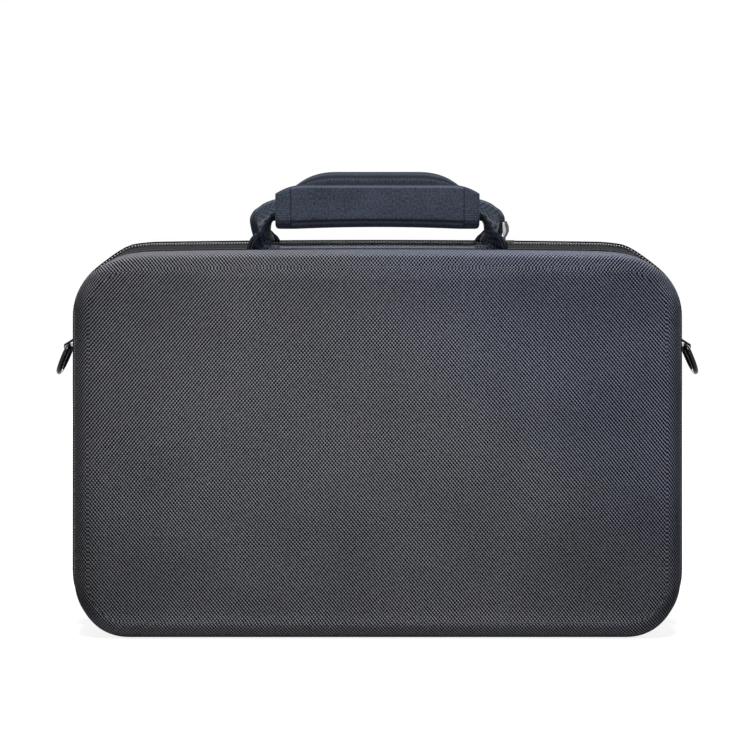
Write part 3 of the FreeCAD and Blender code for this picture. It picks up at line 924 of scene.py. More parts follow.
@dataclass
class ShellHalf:
    """One moulded half: woven cloth outside, foam between, knit lining inside."""

    half: Half
    outline: Outline
    palette: Palette
    rim: float = 13.0
    depth: float = 70.0
    shoulder: float = 12.0
    draft_from: float = 28.0
    wall: float = 4.5
    rim_round: float = 2.0
    crown: float = 1.2
    bow: float = 7.0
    bow_rows: Pair = (40.0, 230.0)
    top_turn: Pair = (0.6, 0.99)
    foot_turn: Pair = (0.5, 0.99)
    side_roll: Roll = Roll(0.0, 12.0, 26.0)
    top_roll: Roll = Roll(2.6, 2.8, 3.8)
    foot_roll: Roll = Roll(0.0, 12.0, 14.0)
    face_rings: tuple[float, ...] = (0.03, 0.08, 0.15, 0.25, 0.37, 0.5, 0.63, 0.76, 0.88, 1.0)

    def cloth_sag(self, spot: np.ndarray) -> np.ndarray:
        """Bends the weft threads down towards the middle of the panel.

        Args:
            spot: flat cloth coordinates.

        Returns:
            The bent coordinates.
        """
        bent = spot.copy()
        rise = self.bow * (spot[..., 0] / self.outline.half_width) ** 2
        bent[..., 1] -= rise * smooth_step(spot[..., 1], *self.bow_rows)
        return bent

    def side_profile(self, inset: float, roll: Roll) -> np.ndarray:
        """Lists the wall from its rim to the edge of the panel, as outward offset and depth.

        Args:
            inset: distance in from the outer face.
            roll: how the wall rolls into the panel.

        Returns:
            The points, as many for any roll.
        """
        bend = self.depth - roll.along
        depth = np.linspace(self.rim + self.rim_round, bend, 10)
        drawn = -roll.draft * np.clip((depth - self.draft_from) / (bend - self.draft_from), 0.0, 1.0) ** 1.25
        turn = np.radians(np.linspace(0.0, 90.0, 15)[1:])
        middle = roll.draft + roll.across
        across, along = max(roll.across - inset, 0.5), max(roll.along - inset, 0.5)
        floor = self.depth - inset - along
        rolled = np.stack([across * np.cos(turn) - middle, floor + along * np.sin(turn)], 1)
        rim = arc((-self.rim_round, self.rim + self.rim_round), self.rim_round, -90.0, 0.0, 5)
        edge = [(-inset, self.rim)] if inset else [(-self.wall, self.rim), *rim[:-1]]
        panel_edge = [(-max(self.shoulder, middle), self.depth - inset)]
        return np.vstack([edge, np.stack([drawn - inset, depth], 1), rolled, panel_edge])

    def wall_patch(self, skin: Skin, inset: float, slot: int) -> None:
        """Adds the outer or inner wall, all round.

        Args:
            skin: where the faces go.
            inset: distance in from the outer face.
            slot: material number.
        """
        line, out = self.outline.walk()
        edge = line - out * self.shoulder
        top = smooth_step(out[:, 1], *self.top_turn)
        foot = smooth_step(-out[:, 1], *self.foot_turn)
        wall, cloth = 0.0, 0.0
        for roll, share in ((self.side_roll, 1.0 - top - foot), (self.top_roll, top), (self.foot_roll, foot)):
            profile = self.side_profile(inset, roll)
            run = lengths(profile)
            unrolled = edge[None] + out[None] * (run[-1] - run)[:, None, None]
            grid = self.outline.sweep(line, out, profile, self.half.sign).transpose(1, 0, 2)
            wall = wall + grid * share[None, :, None]
            cloth = cloth + unrolled * share[None, :, None]
        skin.patch(wall, self.cloth_sag(cloth), slot, True)

    def panel(self, edge: np.ndarray, depth: float, crown: float) -> np.ndarray:
        """Fills the panel inside the shoulder with rings that close on a line.

        Args:
            edge: outline of the panel in X and Z.
            depth: distance of the panel from the middle plane.
            crown: how far its middle stands proud.

        Returns:
            A grid of X, Y, Z.
        """
        middle_z = self.outline.height / 2
        reach = self.outline.half_width - middle_z
        core = np.stack([np.clip(edge[:, 0], -reach, reach), np.full(len(edge), middle_z)], 1)
        rings = []
        for share in (0.0, *self.face_rings):
            flat = edge + (core - edge) * share
            swell = depth + crown * float(smooth_step(np.array(share), 0.0, 0.9))
            rings.append(np.stack([flat[:, 0], np.full(len(flat), self.half.sign * swell), flat[:, 1]], 1))
        return self.outline.lift(np.array(rings))

    def build(self) -> Object:
        """Builds the half.

        Returns:
            The shell.
        """
        skin = Skin()
        line, out = self.outline.walk()
        edge = line - out * self.shoulder
        for slot, inset in enumerate((0.0, self.wall)):
            self.wall_patch(skin, inset, slot)
            face = self.panel(edge, self.depth - inset, self.crown)
            skin.patch(face, self.cloth_sag(face[..., [0, 2]]), slot, True)
        piece = skin.build(f"{self.half.word}_shell_cloth", [self.palette.shell, self.palette.lining])
        return settle(piece, self.half.body, "shell_cloth", f"{self.half.word}_shell")


@dataclass
class ZipHalf:
    """One side of the zip: the bent tape, its row of teeth, and the seams that hold it."""

    half: Half
    outline: Outline
    palette: Palette
    low: float = 12.0
    pitch: float = 1.9
    tooth: Triple = (1.0, 3.0, 1.0)
    chain: float = 5.05
    cords: tuple[Triple, ...] = ((6.12, 0.72, 0.64), (4.2, 3.7, 0.42), (5.05, 1.9, 0.42))
    tape: tuple[Pair, ...] = (
        (-2.4, 13.2), (-0.8, 12.6), (0.9, 11.4), (2.1, 9.8), (2.9, 7.8), (3.5, 5.8), (3.8, 4.2), (3.9, 2.9),
    )
    thickness: float = 1.1
    under: float = 0.35
    # Two cords along the tape's foot: a dark one, painted shadow of the crease where the tape meets the rim,
    # and a light one, painted highlight on the lip; each as outward offset, distance from the middle plane
    # and radius.
    crease_shadow_and_lip_highlight: tuple[Triple, ...] = ((0.3, 12.85, 0.34), (0.95, 12.35, 0.26))
    root: float = 3.3
    # Each ring of a tooth: share of its reach, and of its section.
    tooth_rings: tuple[Pair, ...] = (
        (-0.16, 0.6), (-0.06, 1.0), (0.3, 1.0), (0.85, 1.0), (1.0, 0.6),
    )
    seams: tuple[Pair, ...] = ((0.2, 12.0), (4.2, 6.1))

    def lay_cord(self, skin: Skin, cord: Triple, slot: int, spacing: float, low: float) -> None:
        """Adds a round cord along the zip.

        Args:
            skin: where the faces go.
            cord: its outward offset, distance from the middle plane and radius.
            slot: material number.
            spacing: distance between its rings.
            low: height of both ends.
        """
        offset, depth, radius = cord
        line, out, run = self.outline.stretch(low, spacing, True)
        loop = [(offset + radius * math.cos(a), depth + radius * math.sin(a)) for a in EIGHTHS]
        skin.tube(self.outline.sweep(line, out, loop, self.half.sign), spread(run, EIGHTHS), slot)

    def build_tape(self) -> Object:
        """Builds the tape that bends from the rim up to the teeth."""
        line, out, run = self.outline.stretch(self.low, 5.0, True)
        loop = [*self.tape, *((g - self.thickness, d - self.under) for g, d in reversed(self.tape))]
        across = lengths(np.array(self.tape))
        skin = Skin()
        skin.tube(
            self.outline.sweep(line, out, loop, self.half.sign),
            spread(run - run[-1] / 2, np.concatenate([across, across[::-1]])),
        )
        # Painted crease shadow, then painted lip highlight, along the tape's foot.
        for slot, roll in enumerate(self.crease_shadow_and_lip_highlight, 1):
            self.lay_cord(skin, roll, slot, 5.0, self.low)
        finishes = [self.palette.tape, self.palette.cord, self.palette.lip]
        piece = skin.build(f"{self.half.word}_zip_tape_cloth", finishes)
        return settle(piece, self.half.body, "zip_tape", f"{self.half.word}_zip_tape")

    def build_teeth(self) -> Object:
        """Builds the chain: loops that reach towards those of the other half, and the cords beside them."""
        line, out, _ = self.outline.stretch(self.low + 1.0, self.pitch, True)
        if self.half is Half.REAR:
            line, out = (line[1:] + line[:-1]) / 2, (out[1:] + out[:-1]) / 2
        along = np.stack([-out[:, 1], out[:, 0]], 1)
        wide, deep, high = self.tooth
        skin = Skin()
        for spot, normal, way in zip(line, out, along):
            rings = []
            for share, swell in self.tooth_rings:
                side = np.cos(EIGHTHS) * wide / 2 * swell
                rise = self.chain + np.sin(EIGHTHS) * high / 2 * swell
                flat = spot + way * side[:, None] + normal * rise[:, None]
                depth = np.full(len(flat), self.half.sign * (self.root - share * deep))
                rings.append(np.stack([flat[:, 0], depth, flat[:, 1]], 1))
            skin.tube(self.outline.lift(np.array(rings)), np.zeros((len(rings), len(EIGHTHS), 2)))
        for cord in self.cords:
            self.lay_cord(skin, cord, 1, 4.0, self.low + 1.0)
        piece = skin.build(f"{self.half.word}_zip_teeth", [self.palette.coil, self.palette.cord], 70.0)
        return settle(piece, self.half.body, "zip_coil", f"{self.half.word}_zip_coil")

    def build_seam(self) -> Object:
        """Sews the tape to the rim and beside the teeth."""
        stitches = Stitches(0.26)
        line, out, _ = self.outline.stretch(self.low + 2.0, 3.0, True)
        for offset in self.seams:
            grid = self.outline.sweep(line, out, [offset], self.half.sign)[:, 0]
            stitches.row(grid, 2.6, 0.72)
        piece = stitches.build(f"{self.half.word}_zip_seam", self.palette.thread)
        return settle(piece, self.half.body, "zip_tape")

    def build(self) -> None:
        """Builds the whole side."""
        self.build_tape()
        self.build_teeth()
        self.build_seam()


@dataclass
class PullFace:
    """Bright plate set in the hollow of the right pull's bend, coloured pale as a painted reflection of the
    white backdrop in the metal.
    """

    palette: Palette
    bend: tuple[Pair, ...] = (
        (90.5, 278.6), (91.4, 280.2), (92.0, 282.2), (92.0, 284.9), (91.3, 287.0), (90.6, 288.3),
    )
    back: Pair = (89.3, 88.9)
    depth: float = 0.9
    rim: float = 0.25

    def build(self) -> Object:
        """Builds the plate."""
        rings = []
        for share, (x, z) in zip(np.linspace(0.0, 1.0, len(self.bend)), self.bend):
            inner = self.back[0] + (self.back[1] - self.back[0]) * share
            flat = self.depth - self.rim
            section = [
                (inner, -flat), (inner + self.rim, -self.depth), (x - self.rim, -self.depth), (x, -flat),
                (x, flat), (x - self.rim, self.depth), (inner + self.rim, self.depth), (inner, flat),
            ]
            rings.append([(px, py, z) for px, py in section])
        skin = Skin()
        skin.tube(np.array(rings), np.zeros((len(rings), 8, 2)))
        piece = skin.build("zip_pull_face", [self.palette.plate])
        return settle(piece, "pull_right", "slider_metal")


@dataclass
class RimBinding:
    """Tape bound over the raw edge, inside the rim."""

    half: Half
    outline: Outline
    palette: Palette
    loop: tuple[Pair, ...] = (
        (-4.55, 13.2), (-4.55, 20.8), (-5.0, 21.1), (-5.9, 20.6), (-6.15, 17.0), (-5.9, 13.5), (-5.2, 12.95),
    )

    def build(self) -> Object:
        """Builds the binding."""
        line, out = self.outline.walk()
        grid = self.outline.sweep(line, out, self.loop, self.half.sign)
        run = lengths(np.vstack([line, line[:1]]))
        grid = np.concatenate([grid, grid[:1]])
        skin = Skin()
        skin.patch(grid, spread(run, lengths(np.array(self.loop))), 0, True)
        piece = skin.build(f"{self.half.word}_binding", [self.palette.binding])
        return settle(piece, self.half.body, "binding_tape", f"{self.half.word}_rim_binding")


@dataclass
class Hinge:
    """Cloth hinge along the bottom, between the two rims."""

    outline: Outline
    palette: Palette
    high: float = 11.5
    reach: float = 13.0
    inset: float = 2.4
    thickness: float = 1.4
    dip: float = 0.5

    def build(self) -> Object:
        """Builds the hinge cloth."""
        line, out, run = self.outline.stretch(self.high, 6.0, False)
        spots = np.linspace(-self.reach, self.reach, 15)
        dip = self.dip * np.cos(spots / self.reach * math.pi * 1.5)
        top = [(-self.inset + d, s) for s, d in zip(spots, dip)]
        loop = top + [(g - self.thickness, s) for g, s in reversed(top)]
        across = np.concatenate([spots, spots[::-1]])
        skin = Skin()
        skin.tube(self.outline.sweep(line, out, loop, 1.0), spread(run, across))
        piece = skin.build("hinge_cloth", [self.palette.gusset])
        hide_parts("hinge_gusset")
        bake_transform(piece)
        log.info("hinge_cloth bends between case_back and lid")
        return piece


@dataclass
class Ribbon:
    """Flat webbing along a line of centres, with soft rounded edges."""

    width: float
    thickness: float
    ridges: tuple[float, ...] = ()
    ridge_height: float = 0.3
    ridge_spread: float = 0.6

    def section(self) -> np.ndarray:
        """Lists the section as offsets across and through the webbing."""
        half, thin = self.width / 2 - self.thickness / 2, self.thickness / 2
        spots = np.linspace(-half, half, 41 if self.ridges else 9)
        swell = np.full(len(spots), thin)
        for ridge in self.ridges:
            swell += self.ridge_height * np.exp(-(((np.abs(spots) - ridge) / self.ridge_spread) ** 2))
        over = list(zip(spots, swell))
        right = [(half + thin * math.cos(t), thin * math.sin(t)) for t in np.radians([45.0, 0.0, -45.0])]
        return np.array(over + right + [(-a, -b) for a, b in over] + [(-a, -b) for a, b in right])

    def lay(self, skin: Skin, centres: np.ndarray, across: np.ndarray) -> None:
        """Adds the webbing to a skin.

        Args:
            skin: where the faces go.
            centres: line of centres.
            across: the way the width points, at all centres or at each.
        """
        along = unit(np.gradient(centres, axis=0))
        wide = unit(across - along * np.sum(across * along, axis=1, keepdims=True))
        through = np.cross(along, wide)
        section = self.section()
        rings = (
            centres[:, None, :]
            + wide[:, None, :] * section[None, :, :1]
            + through[:, None, :] * section[None, :, 1:]
        )
        skin.tube(rings, spread(lengths(centres), section[:, 0]))


@dataclass(frozen=True)
class Crest:
    """Top edge of a pad: level in the middle, then falling away towards both ends."""

    base: float
    top: float
    start: float
    span: float
    drop: float
    power: float

    def lower(self, x: np.ndarray, z: np.ndarray) -> np.ndarray:
        """Brings heights above the base down to the falling edge.

        Args:
            x: place along the grip.
            z: heights.

        Returns:
            The lowered heights.
        """
        fall = self.drop * np.clip((np.abs(x) - self.start) / self.span, 0.0, None) ** self.power
        share = np.clip((self.top - fall - self.base) / (self.top - self.base), 0.0, 1.0)
        return np.where(z > self.base, self.base + (z - self.base) * share, z)


@dataclass
class GripPad:
    """One padded half of the grip: a bent pad whose thickness dies away at its edges."""

    name: str
    path: np.ndarray
    reach: float
    thickness: float
    swell: float
    crest: Crest
    seams: tuple[float, ...] = ()
    channel: float = -1.0
    arch: float = 0.0
    arch_reach: float = 58.0
    arched: Pair = (286.5, 297.0)
    # Depth and half width of the end seams and of the sewn channel, then the welt beside the channel.
    seam_groove: Pair = (0.75, 0.7)
    channel_groove: Pair = (0.8, 0.65)
    welt: Triple = (0.45, 0.8, 1.7)
    channel_ends: Pair = (11.0, 13.0)
    soft_ends: Pair = (0.0, 9.0)
    soft_sides: Pair = (2.0, 18.0)
    columns: int = 81
    edge: float = 2.4

    @staticmethod
    def ridge(away: np.ndarray, high: float, wide: float) -> np.ndarray:
        """Gives the height of a soft ridge at a distance from its line."""
        return high * np.exp(-((away / wide) ** 2))

    def height_map(self, run: np.ndarray, x: np.ndarray) -> tuple[np.ndarray, np.ndarray]:
        """Works out the half thickness and the outward swell.

        Args:
            run: distance along the pad's path.
            x: place along the grip.

        Returns:
            Half thickness, and swell of the outer face.
        """
        total = lengths(self.path)[-1]
        ends = np.minimum(run, total - run)
        sides = self.reach - np.abs(x)
        fall = 1.0
        for distance in (ends, sides):
            t = np.clip(distance / self.edge, 0.0, 1.0)
            fall = fall * np.sqrt(np.clip(1.0 - (1.0 - t) ** 2, 0.0, 1.0))
        soft = smooth_step(ends, *self.soft_ends) * smooth_step(sides, *self.soft_sides)
        groove = np.zeros_like(x)
        for seam in self.seams:
            groove += self.ridge(np.abs(x) - seam, *self.seam_groove)
        if self.channel > 0:
            away = run - self.channel
            high, wide, beside = self.welt
            line = self.ridge(away, *self.channel_groove) - self.ridge(away - beside, high, wide)
            groove += line * smooth_step(sides, *self.channel_ends)
        half = self.thickness / 2 * fall
        return half, (self.swell * soft - np.clip(groove, -1.0, 0.8)) * np.clip(fall, 0.0, 1.0)

    def place(self, x: np.ndarray, run: np.ndarray, outer: bool) -> np.ndarray:
        """Finds points of the pad's faces.

        Args:
            x: place along the grip.
            run: distance along the pad's path.
            outer: the outer face rather than the inner one.

        Returns:
            Points in X, Y and Z.
        """
        along = unit(np.gradient(self.path, axis=0))
        held = np.hstack([self.path, np.stack([-along[:, 1], along[:, 0]], 1)])
        y, z, out_y, out_z = (np.interp(run, lengths(self.path), column) for column in held.T)
        half, swell = self.height_map(run, x)
        offset = half + swell if outer else -half
        y, z = y + out_y * offset, z + out_z * offset
        z = self.crest.lower(x, z)
        low = 1.0 - smooth_step(z, *self.arched)
        rise = self.arch * low * np.clip(1.0 - (x / self.arch_reach) ** 2, 0.0, None)
        return np.stack([x, y, z + rise], -1)

    def build(self, finish: Material) -> Object:
        """Builds the pad.

        Args:
            finish: its cloth.

        Returns:
            The pad.
        """
        bend = np.linspace(-1.0, 1.0, self.columns)
        share = np.sign(bend) * (1.0 - (1.0 - np.abs(bend)) ** 1.25)
        x, run = np.meshgrid(self.reach * share, lengths(self.path))
        skin = Skin()
        for outer in (True, False):
            skin.patch(self.place(x, run, outer), np.stack([x, run], -1))
        return skin.build(self.name, [finish], 75.0)


def dense(points: Sequence[Pair], spacing: float, edge: float) -> np.ndarray:
    """Resamples a flat line evenly, with extra points near both ends.

    Args:
        points: the line.
        spacing: distance between points.
        edge: length at each end that gets the extra points.

    Returns:
        The new line.
    """
    line = np.array(points, float)
    total = lengths(line)[-1]
    close = edge * (1.0 - np.cos(np.linspace(0.0, math.pi / 2, 6)))
    middle = np.linspace(edge, total - edge, max(3, round((total - 2 * edge) / spacing)) + 1)
    return resample(line, np.concatenate([close, middle[1:-1], total - close[::-1]]))[0]


@dataclass
class Handle:
    """Carrying handle: two twisted straps inside a padded grip that wraps and closes over them."""

    palette: Palette
    webbing: float = 24.0
    thickness: float = 1.6
    foot_x: float = 80.5
    foot_z: float = 266.7
    low_run: float = 289.2
    high_run: float = 301.7
    pad: float = 4.5
    pad_middle: float = 17.25
    pad_spacing: float = 1.1
    pad_edge: float = 2.4
    end_seam: float = 61.0
    thread: float = 0.24
    # Each station: outward lean, Y, share of the rise, and the width's direction (inward, back, up).
    front_leg: tuple[tuple[float, ...], ...] = (
        (0.0, -12.2, 0.0, 1.0, 0.0, 0.0),
        (0.0, -12.2, 0.14, 0.99, 0.14, 0.0),
        (0.0, -12.0, 0.26, 0.82, 0.57, 0.0),
        (-1.0, -11.4, 0.38, 0.6, 0.8, 0.0),
        (-2.4, -10.2, 0.54, 0.44, 0.9, 0.0),
        (-4.0, -7.2, 0.83, 0.18, 0.98, 0.0),
        (-6.9, -3.0, 1.05, 0.0, 0.9, 0.42),
        (-14.5, -1.5, 1.05, 0.0, 0.95, 0.3),
    )
    rear_leg: tuple[tuple[float, ...], ...] = (
        (0.0, 12.2, 0.0, 1.0, 0.0, 0.0),
        (-0.2, 12.4, 0.14, 0.96, -0.28, 0.0),
        (0.9, 13.2, 0.26, 0.72, -0.69, 0.0),
        (2.6, 13.8, 0.36, 0.54, -0.84, 0.0),
        (4.4, 12.6, 0.5, 0.43, -0.9, 0.0),
        (5.2, 10.2, 0.62, 0.33, -0.92, -0.18),
        (3.4, 7.6, 0.715, 0.2, -0.88, -0.42),
        (-1.0, 5.2, 0.81, 0.1, -0.83, -0.55),
        (-8.6, 3.6, 0.915, 0.0, -0.86, -0.5),
        (-14.5, 2.8, 1.0, 0.0, -1.0, -0.2),
    )

    def leg(self, stations: tuple[tuple[float, ...], ...], rise: float) -> np.ndarray:
        """Lists a left leg's centres and width directions, foot first.

        Args:
            stations: the leg's stations.
            rise: height from the foot to the run.

        Returns:
            Rows of X, Y, Z and the width's X, Y, Z.
        """
        rows = [
            (-(self.foot_x + lean), y, self.foot_z + share * rise, inward, back, up)
            for lean, y, share, inward, back, up in stations
        ]
        return spline(np.array(rows), 8)

    def build_strap(self, half: Half) -> Object:
        """Builds one strap from foot to foot.

        Args:
            half: the half that the strap is sewn to.

        Returns:
            The strap.
        """
        front = half is Half.FRONT
        rise = (self.low_run if front else self.high_run) - self.foot_z
        left = self.leg(self.front_leg if front else self.rear_leg, rise)
        right = left[::-1] * np.array([-1.0, 1.0, 1.0, -1.0, 1.0, 1.0])
        middle = np.array([left[-1] + (right[0] - left[-1]) * t for t in np.linspace(0, 1, 12)[1:-1]])
        line = np.vstack([left, middle, right])
        skin = Skin()
        Ribbon(self.webbing, self.thickness, WEBBING_RIDGES).lay(skin, line[:, :3], line[:, 3:])
        piece = skin.build(f"{half.word}_strap_webbing", [self.palette.webbing])
        return settle(piece, half.body, "webbing", f"{half.word}_handle_strap")

    def finish_pad(
        self, half: Half, pad: GripPad, cloth: Material, rows: Iterable[np.ndarray], pitch: float
    ) -> Object:
        """Builds a pad and its seams.

        Args:
            half: the half that the pad moves with.
            pad: its shape.
            cloth: its finish.
            rows: lines that its stitches follow.
            pitch: length of one stitch and its gap.

        Returns:
            The stitches.
        """
        piece = pad.build(cloth)
        settle(piece, half.body, "grip_cloth", f"{half.word}_grip_pad")
        stitches = Stitches(self.thread)
        for row in rows:
            stitches.row(row, pitch)
        return settle(stitches.build(f"{half.word}_grip_seam", self.palette.thread), half.body, "grip_cloth")

    def build_front_pad(self) -> Object:
        """Builds the pad that lies under the straps and stands up in front of them."""
        front, low, bend = -self.pad_middle, 285.75, 5.0
        line = [(11.0, low), *arc((front + bend, low + bend), bend, -90.0, -180.0, 8), (front, 314.3)]
        crest = Crest(298.0, 314.5, 52.0, 8.0, 0.9, 2.12)
        path = dense(line, self.pad_spacing, self.pad_edge)[::-1]
        pad = GripPad("front_grip_cushion", path, 72.0, self.pad, 1.0, crest, (self.end_seam,), 25.0, 1.3)
        run = np.linspace(2.5, 30.0, 40)
        seams = (-self.end_seam - 1.3, -self.end_seam + 1.2, self.end_seam - 1.2, self.end_seam + 1.3)
        rows = [pad.place(np.full(len(run), x), run, True) for x in seams]
        return self.finish_pad(Half.FRONT, pad, self.palette.grip, rows, 2.2)

    def build_rear_pad(self) -> Object:
        """Builds the pad that stands behind the straps and folds forward over them."""
        back, tongue, top, bend, fold = self.pad_middle, -10.15, 320.75, 7.0, 5.0
        line = [
            (back, 286.0),
            *arc((back - bend, top - bend), bend, 0.0, 90.0, 8),
            *arc((tongue + fold, top - fold), fold, 90.0, 180.0, 6),
            (tongue, 304.5),
        ]
        crest = Crest(306.0, 323.0, 28.0, 25.5, 6.1, 2.4)
        path = dense(line, self.pad_spacing, self.pad_edge)[::-1]
        pad = GripPad("rear_grip_cushion", path, 66.0, self.pad, 0.8, crest, (), 14.3)
        x = np.linspace(-50.0, 50.0, 60)
        rows = [pad.place(x, np.full(len(x), 12.6), True)]
        return self.finish_pad(Half.REAR, pad, self.palette.flap, rows, 2.4)

    def build(self) -> None:
        """Builds the whole handle."""
        for half in Half:
            self.build_strap(half)
        self.build_front_pad()
        self.build_rear_pad()
        dress_solid("grip_loop_strip", self.palette.loop)
        dress_solid("grip_hook_strip", self.palette.hook)


@dataclass
class RingMount:
    """Shoulder-strap ring and the webbing loop that ties it to the rear flank."""

    side: Side
    palette: Palette
    flank: float = 210.0
    bar_x: float = 222.0
    bar_y: float = 24.0
    bar_z: float = 199.0
    width: float = 16.0
    ply: float = 1.3
    sewn_top: float = 228.0
    wire: float = 2.0
    slack: float = 0.35
    hang: float = 18.0

    def build(self) -> Object:
        """Builds the loop and dresses the ring."""
        curl = self.wire + self.slack + self.ply / 2
        lean = math.atan2(self.bar_x - self.flank, self.hang)
        over = [
            (self.flank + 1.6 * self.ply, self.sewn_top), (self.flank + 1.6 * self.ply, 219.0),
            (self.flank + 2.1 * self.ply, 212.0), (self.flank + 6.5, 206.0),
        ]
        under = [
            (self.flank + 4.0, 201.5), (self.flank + 1.2 * self.ply, 208.0),
            (self.flank + 0.55 * self.ply, 215.0), (self.flank + 0.55 * self.ply, self.sewn_top),
        ]
        turn = np.linspace(-lean, math.pi - lean, 14)
        bend = [(self.bar_x + curl * math.cos(a), self.bar_z - curl * math.sin(a)) for a in turn]
        flat = spline(np.array(over + bend + under), 4)
        centres = np.stack([self.side.sign * flat[:, 0], np.full(len(flat), self.bar_y), flat[:, 1]], 1)
        skin = Skin()
        Ribbon(self.width, self.ply).lay(skin, centres, np.array([0.0, 1.0, 0.0]))
        piece = skin.build(f"ring_loop_{self.side.word}", [self.palette.tie])
        settle(piece, "case_back", "webbing", f"ring_tab_{self.side.word}")
        dress_solid(f"d_ring_{self.side.word}", self.palette.ring)
        return piece


@dataclass
class Interior:
    """Net pocket in the lid and the two straps that hold the console down."""

    outline: Outline
    palette: Palette
    net_y: float = -23.5
    net_top: float = 165.0
    spacing: float = 4.0
    strand: float = 0.5
    margin: float = 4.6
    lap: float = 2.0
    bag: float = 1.6
    hem_width: float = 12.0
    hem_thickness: float = 1.9
    tie_x: float = 70.0
    tie_width: float = 38.0
    tie_thickness: float = 1.6
    tie_span: Pair = (38.0, 228.0)
    lap_span: Pair = (122.0, 182.0)
    tie_y: Pair = (64.6, 62.9)

    def inside(self, x: np.ndarray, z: np.ndarray) -> np.ndarray:
        """Says which spots lie within the pocket's outline."""
        half, corner = self.outline.half_width - self.margin, self.outline.corner - self.margin
        dx = np.clip(np.abs(x) - (half - corner), 0.0, None)
        dz = np.clip(self.margin + corner - z, 0.0, None)
        rounded = (np.hypot(dx, dz) <= corner) & (np.abs(x) <= half)
        return rounded & (z >= self.margin) & (z <= self.net_top + self.lap)

    def build_net(self) -> Object:
        """Builds the net from two families of crossing strands."""
        skin = Skin()
        ring = np.radians([0.0, 90.0, 180.0, 270.0])
        for family in (1.0, -1.0):
            way = np.array([family * math.sqrt(0.5), math.sqrt(0.5)])
            side = np.array([-way[1], way[0]])
            for offset in np.arange(-400.0, 400.0, self.spacing):
                spots = np.array([0.0, 85.0]) + side * offset + way * np.linspace(-320.0, 320.0, 641)[:, None]
                held = self.inside(spots[:, 0], spots[:, 1])
                if held.sum() < 4:
                    continue
                spots = spots[held]
                count = max(2, int(len(spots) / 12))
                pick = spots[np.linspace(0, len(spots) - 1, count).round().astype(int)]
                bag = self.bag * np.sin(np.pi * np.clip(pick[:, 1] / self.net_top, 0, 1))
                bag *= 1 - (pick[:, 0] / self.outline.half_width) ** 2
                middle = np.stack([pick[:, 0], self.net_y + self.strand / 2 * family + bag, pick[:, 1]], 1)
                round_it = np.stack([side[0] * np.cos(ring), np.sin(ring), side[1] * np.cos(ring)], 1)
                rings = middle[:, None, :] + self.strand * round_it[None]
                skin.tube(rings, np.zeros((len(middle), len(ring), 2)))
        piece = skin.build("lid_pocket_net", [self.palette.net], 100.0)
        return settle(piece, "lid", "net", "lid_pocket_mesh")

    def build_hem(self) -> Object:
        """Builds the gathered elastic along the top of the pocket."""
        x = np.linspace(-205.0, 205.0, 165)
        ruffle = 0.5 * np.sin(x / 2.4) + 0.25 * np.sin(x / 5.3)
        skin = Skin()
        centres = np.stack([x, self.net_y + 0.3 * ruffle, self.net_top + 6.0 + 0.25 * ruffle], 1)
        Ribbon(self.hem_width, self.hem_thickness).lay(skin, centres, np.array([0.0, 0.0, 1.0]))
        piece = skin.build("lid_pocket_elastic", [self.palette.elastic])
        return settle(piece, "lid", "elastic", "lid_pocket_hem")

    def build_tie(self, side: Side) -> Object:
        """Builds one hold-down strap, lapped over itself on a touch fastener.

        Args:
            side: which strap.

        Returns:
            The strap.
        """
        skin = Skin()
        z = np.linspace(*self.tie_span, 24)
        lap_z = np.linspace(*self.lap_span, 16)
        lap_y = self.tie_y[1] - 0.5 * smooth_step(lap_z, self.lap_span[1] - 12.0, self.lap_span[1])
        for y, rows in ((np.full(len(z), self.tie_y[0]), z), (lap_y, lap_z)):
            centres = np.stack([np.full(len(rows), self.tie_x * side.sign), y, rows], 1)
            Ribbon(self.tie_width, self.tie_thickness).lay(skin, centres, np.array([1.0, 0.0, 0.0]))
        piece = skin.build(f"console_tie_{side.word}", [self.palette.tie])
        return settle(piece, "case_back", "elastic", f"hold_down_{side.word}")

    def build(self) -> None:
        """Builds everything inside the case."""
        self.build_net()
        self.build_hem()
        for side in Side:
            self.build_tie(side)


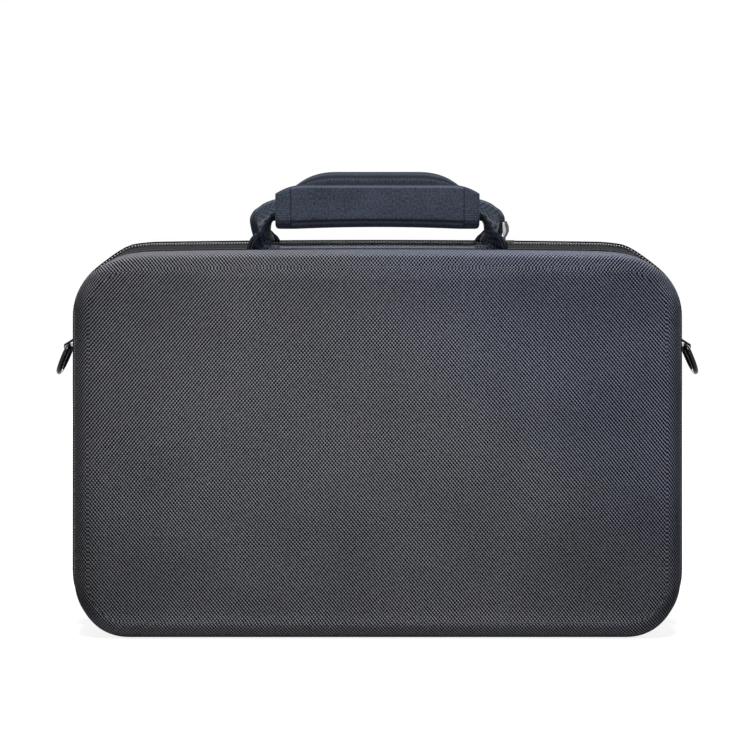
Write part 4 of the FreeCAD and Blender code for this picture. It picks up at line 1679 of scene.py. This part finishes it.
@dataclass
class Studio:
    """Pale floor, soft light and the camera."""

    floor_tone: float = 0.22
    near_glow: float = 0.88
    glow_span: Pair = (0.3, 1.1)
    room_light: float = 0.03
    camera_place: Spot = (-0.0017, -1.82, 0.273)
    camera_target: Spot = (-0.0017, -0.07, 0.183)
    lens: float = 122.6

    def backdrop_switch(self, tree: Tree) -> Socket:
        """Tells rays that show the backdrop from rays that only light the scene.

        Args:
            tree: node tree to work in.

        Returns:
            1 for camera, glossy and transmission rays.
        """
        path = tree.node("ShaderNodeLightPath")
        value = path.outputs["Is Camera Ray"]
        for name in ("Is Glossy Ray", "Is Transmission Ray"):
            value = tree.math("MAXIMUM", value, path.outputs[name])
        return value

    def build_floor(self) -> Object:
        """Builds the floor, which keeps the case's shadow and is white to the camera."""
        mesh = bpy.data.meshes.new("floor")
        mesh.from_pydata([(-6, -4, 0), (6, -4, 0), (6, 8, 0), (-6, 8, 0)], [], [(0, 1, 2, 3)])
        floor = bpy.data.objects.new("floor", mesh)
        bpy.context.scene.collection.objects.link(floor)
        material = bpy.data.materials.new("floor_paper")
        material.use_nodes = True
        tree = Tree(material.node_tree)
        tree.nodes.clear()
        paper = tree.node("ShaderNodeBsdfDiffuse")
        paper.inputs["Color"].default_value = (self.floor_tone, self.floor_tone, self.floor_tone, 1.0)
        away = tree.node("ShaderNodeVectorMath", operation="LENGTH")
        tree.feed(away.inputs[0], tree.node("ShaderNodeTexCoord").outputs["Object"])
        fade = tree.between(away.outputs["Value"], *self.glow_span)
        fade = tree.math("MULTIPLY_ADD", fade, 1.0 - self.near_glow, self.near_glow)
        glow = tree.node("ShaderNodeEmission")
        tree.feed(glow.inputs["Strength"], tree.math("MULTIPLY", self.backdrop_switch(tree), fade))
        both = tree.node("ShaderNodeAddShader")
        for socket, shader in zip(both.inputs, (paper, glow)):
            tree.feed(socket, shader.outputs[0])
        tree.feed(tree.node("ShaderNodeOutputMaterial").inputs["Surface"], both.outputs[0])
        mesh.materials.append(material)
        return floor

    def build_world(self) -> None:
        """Surrounds the case with white, dimmer as a light than as a backdrop."""
        world = bpy.data.worlds.new("studio_world")
        bpy.context.scene.world = world
        world.use_nodes = True
        tree = Tree(world.node_tree)
        back = tree.nodes["Background"]
        back.inputs["Color"].default_value = (1.0, 1.0, 1.0, 1.0)
        level = tree.math("MULTIPLY_ADD", self.backdrop_switch(tree), 1.0 - self.room_light, self.room_light)
        tree.feed(back.inputs["Strength"], level)

    def hang(self, name: str, data: bpy.types.ID, place: Spot, aim: Spot) -> Object:
        """Puts a light or a camera in its place.

        Args:
            name: name of the object.
            data: the light or camera.
            place: where it hangs.
            aim: point that it faces.

        Returns:
            The object.
        """
        hung = bpy.data.objects.new(name, data)
        hung.location = place
        hung.rotation_euler = (Vector(aim) - Vector(place)).to_track_quat("-Z", "Y").to_euler()
        bpy.context.scene.collection.objects.link(hung)
        return hung

    def add_light(self, name: str, place: Spot, aim: Spot, size: Pair, power: float) -> None:
        """Hangs a soft box.

        Args:
            name: name of the light.
            place: where it hangs.
            aim: point that it faces.
            size: width and height.
            power: watts.
        """
        lamp = bpy.data.lights.new(name, "AREA")
        lamp.shape = "RECTANGLE"
        lamp.size, lamp.size_y = size
        lamp.energy = power
        self.hang(name, lamp, place, aim)

    def build_camera(self) -> None:
        """Sets the camera where the photograph was taken from."""
        data = bpy.data.cameras.new("camera")
        data.sensor_width = 36.0
        data.lens = self.lens
        data.clip_end = 100.0
        bpy.context.scene.camera = self.hang("camera", data, self.camera_place, self.camera_target)

    def build(self) -> None:
        """Builds the studio."""
        bpy.context.scene.view_settings.view_transform = "Standard"
        self.build_floor()
        self.build_world()
        self.add_light("top_box", (0.0, -0.8, 2.1), (0.0, 0.0, 0.25), (0.8, 0.8), 82.0)
        self.add_light("front_box", (-0.2, -2.4, 0.32), (0.0, 0.0, 0.15), (0.6, 0.5), 12.0)
        for side in Side:
            place = (side.sign * 0.95, 2.35, 0.9)
            self.add_light(f"{side.word}_box", place, (0.0, 0.0, 0.15), (0.9, 0.9), 24.0)
        self.build_camera()


def main() -> None:
    """Builds the case, its finishes and the studio, in order."""
    logging.basicConfig(level=logging.INFO, format="%(name)s: %(message)s")
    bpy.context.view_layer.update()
    palette = Palette()
    outline = Outline()
    for half in Half:
        ShellHalf(half, outline, palette).build()
        ZipHalf(half, outline, palette).build()
        RimBinding(half, outline, palette).build()
    Hinge(outline, palette).build()
    Handle(palette).build()
    for side in Side:
        RingMount(side, palette).build()
        dress_solid(f"zip_slider_{side.word}", palette.slider)
        dress_solid(f"zip_pull_{side.word}", palette.slider)
    PullFace(palette).build()
    Interior(outline, palette).build()
    Studio().build()


if __name__ == "__main__":
    main()
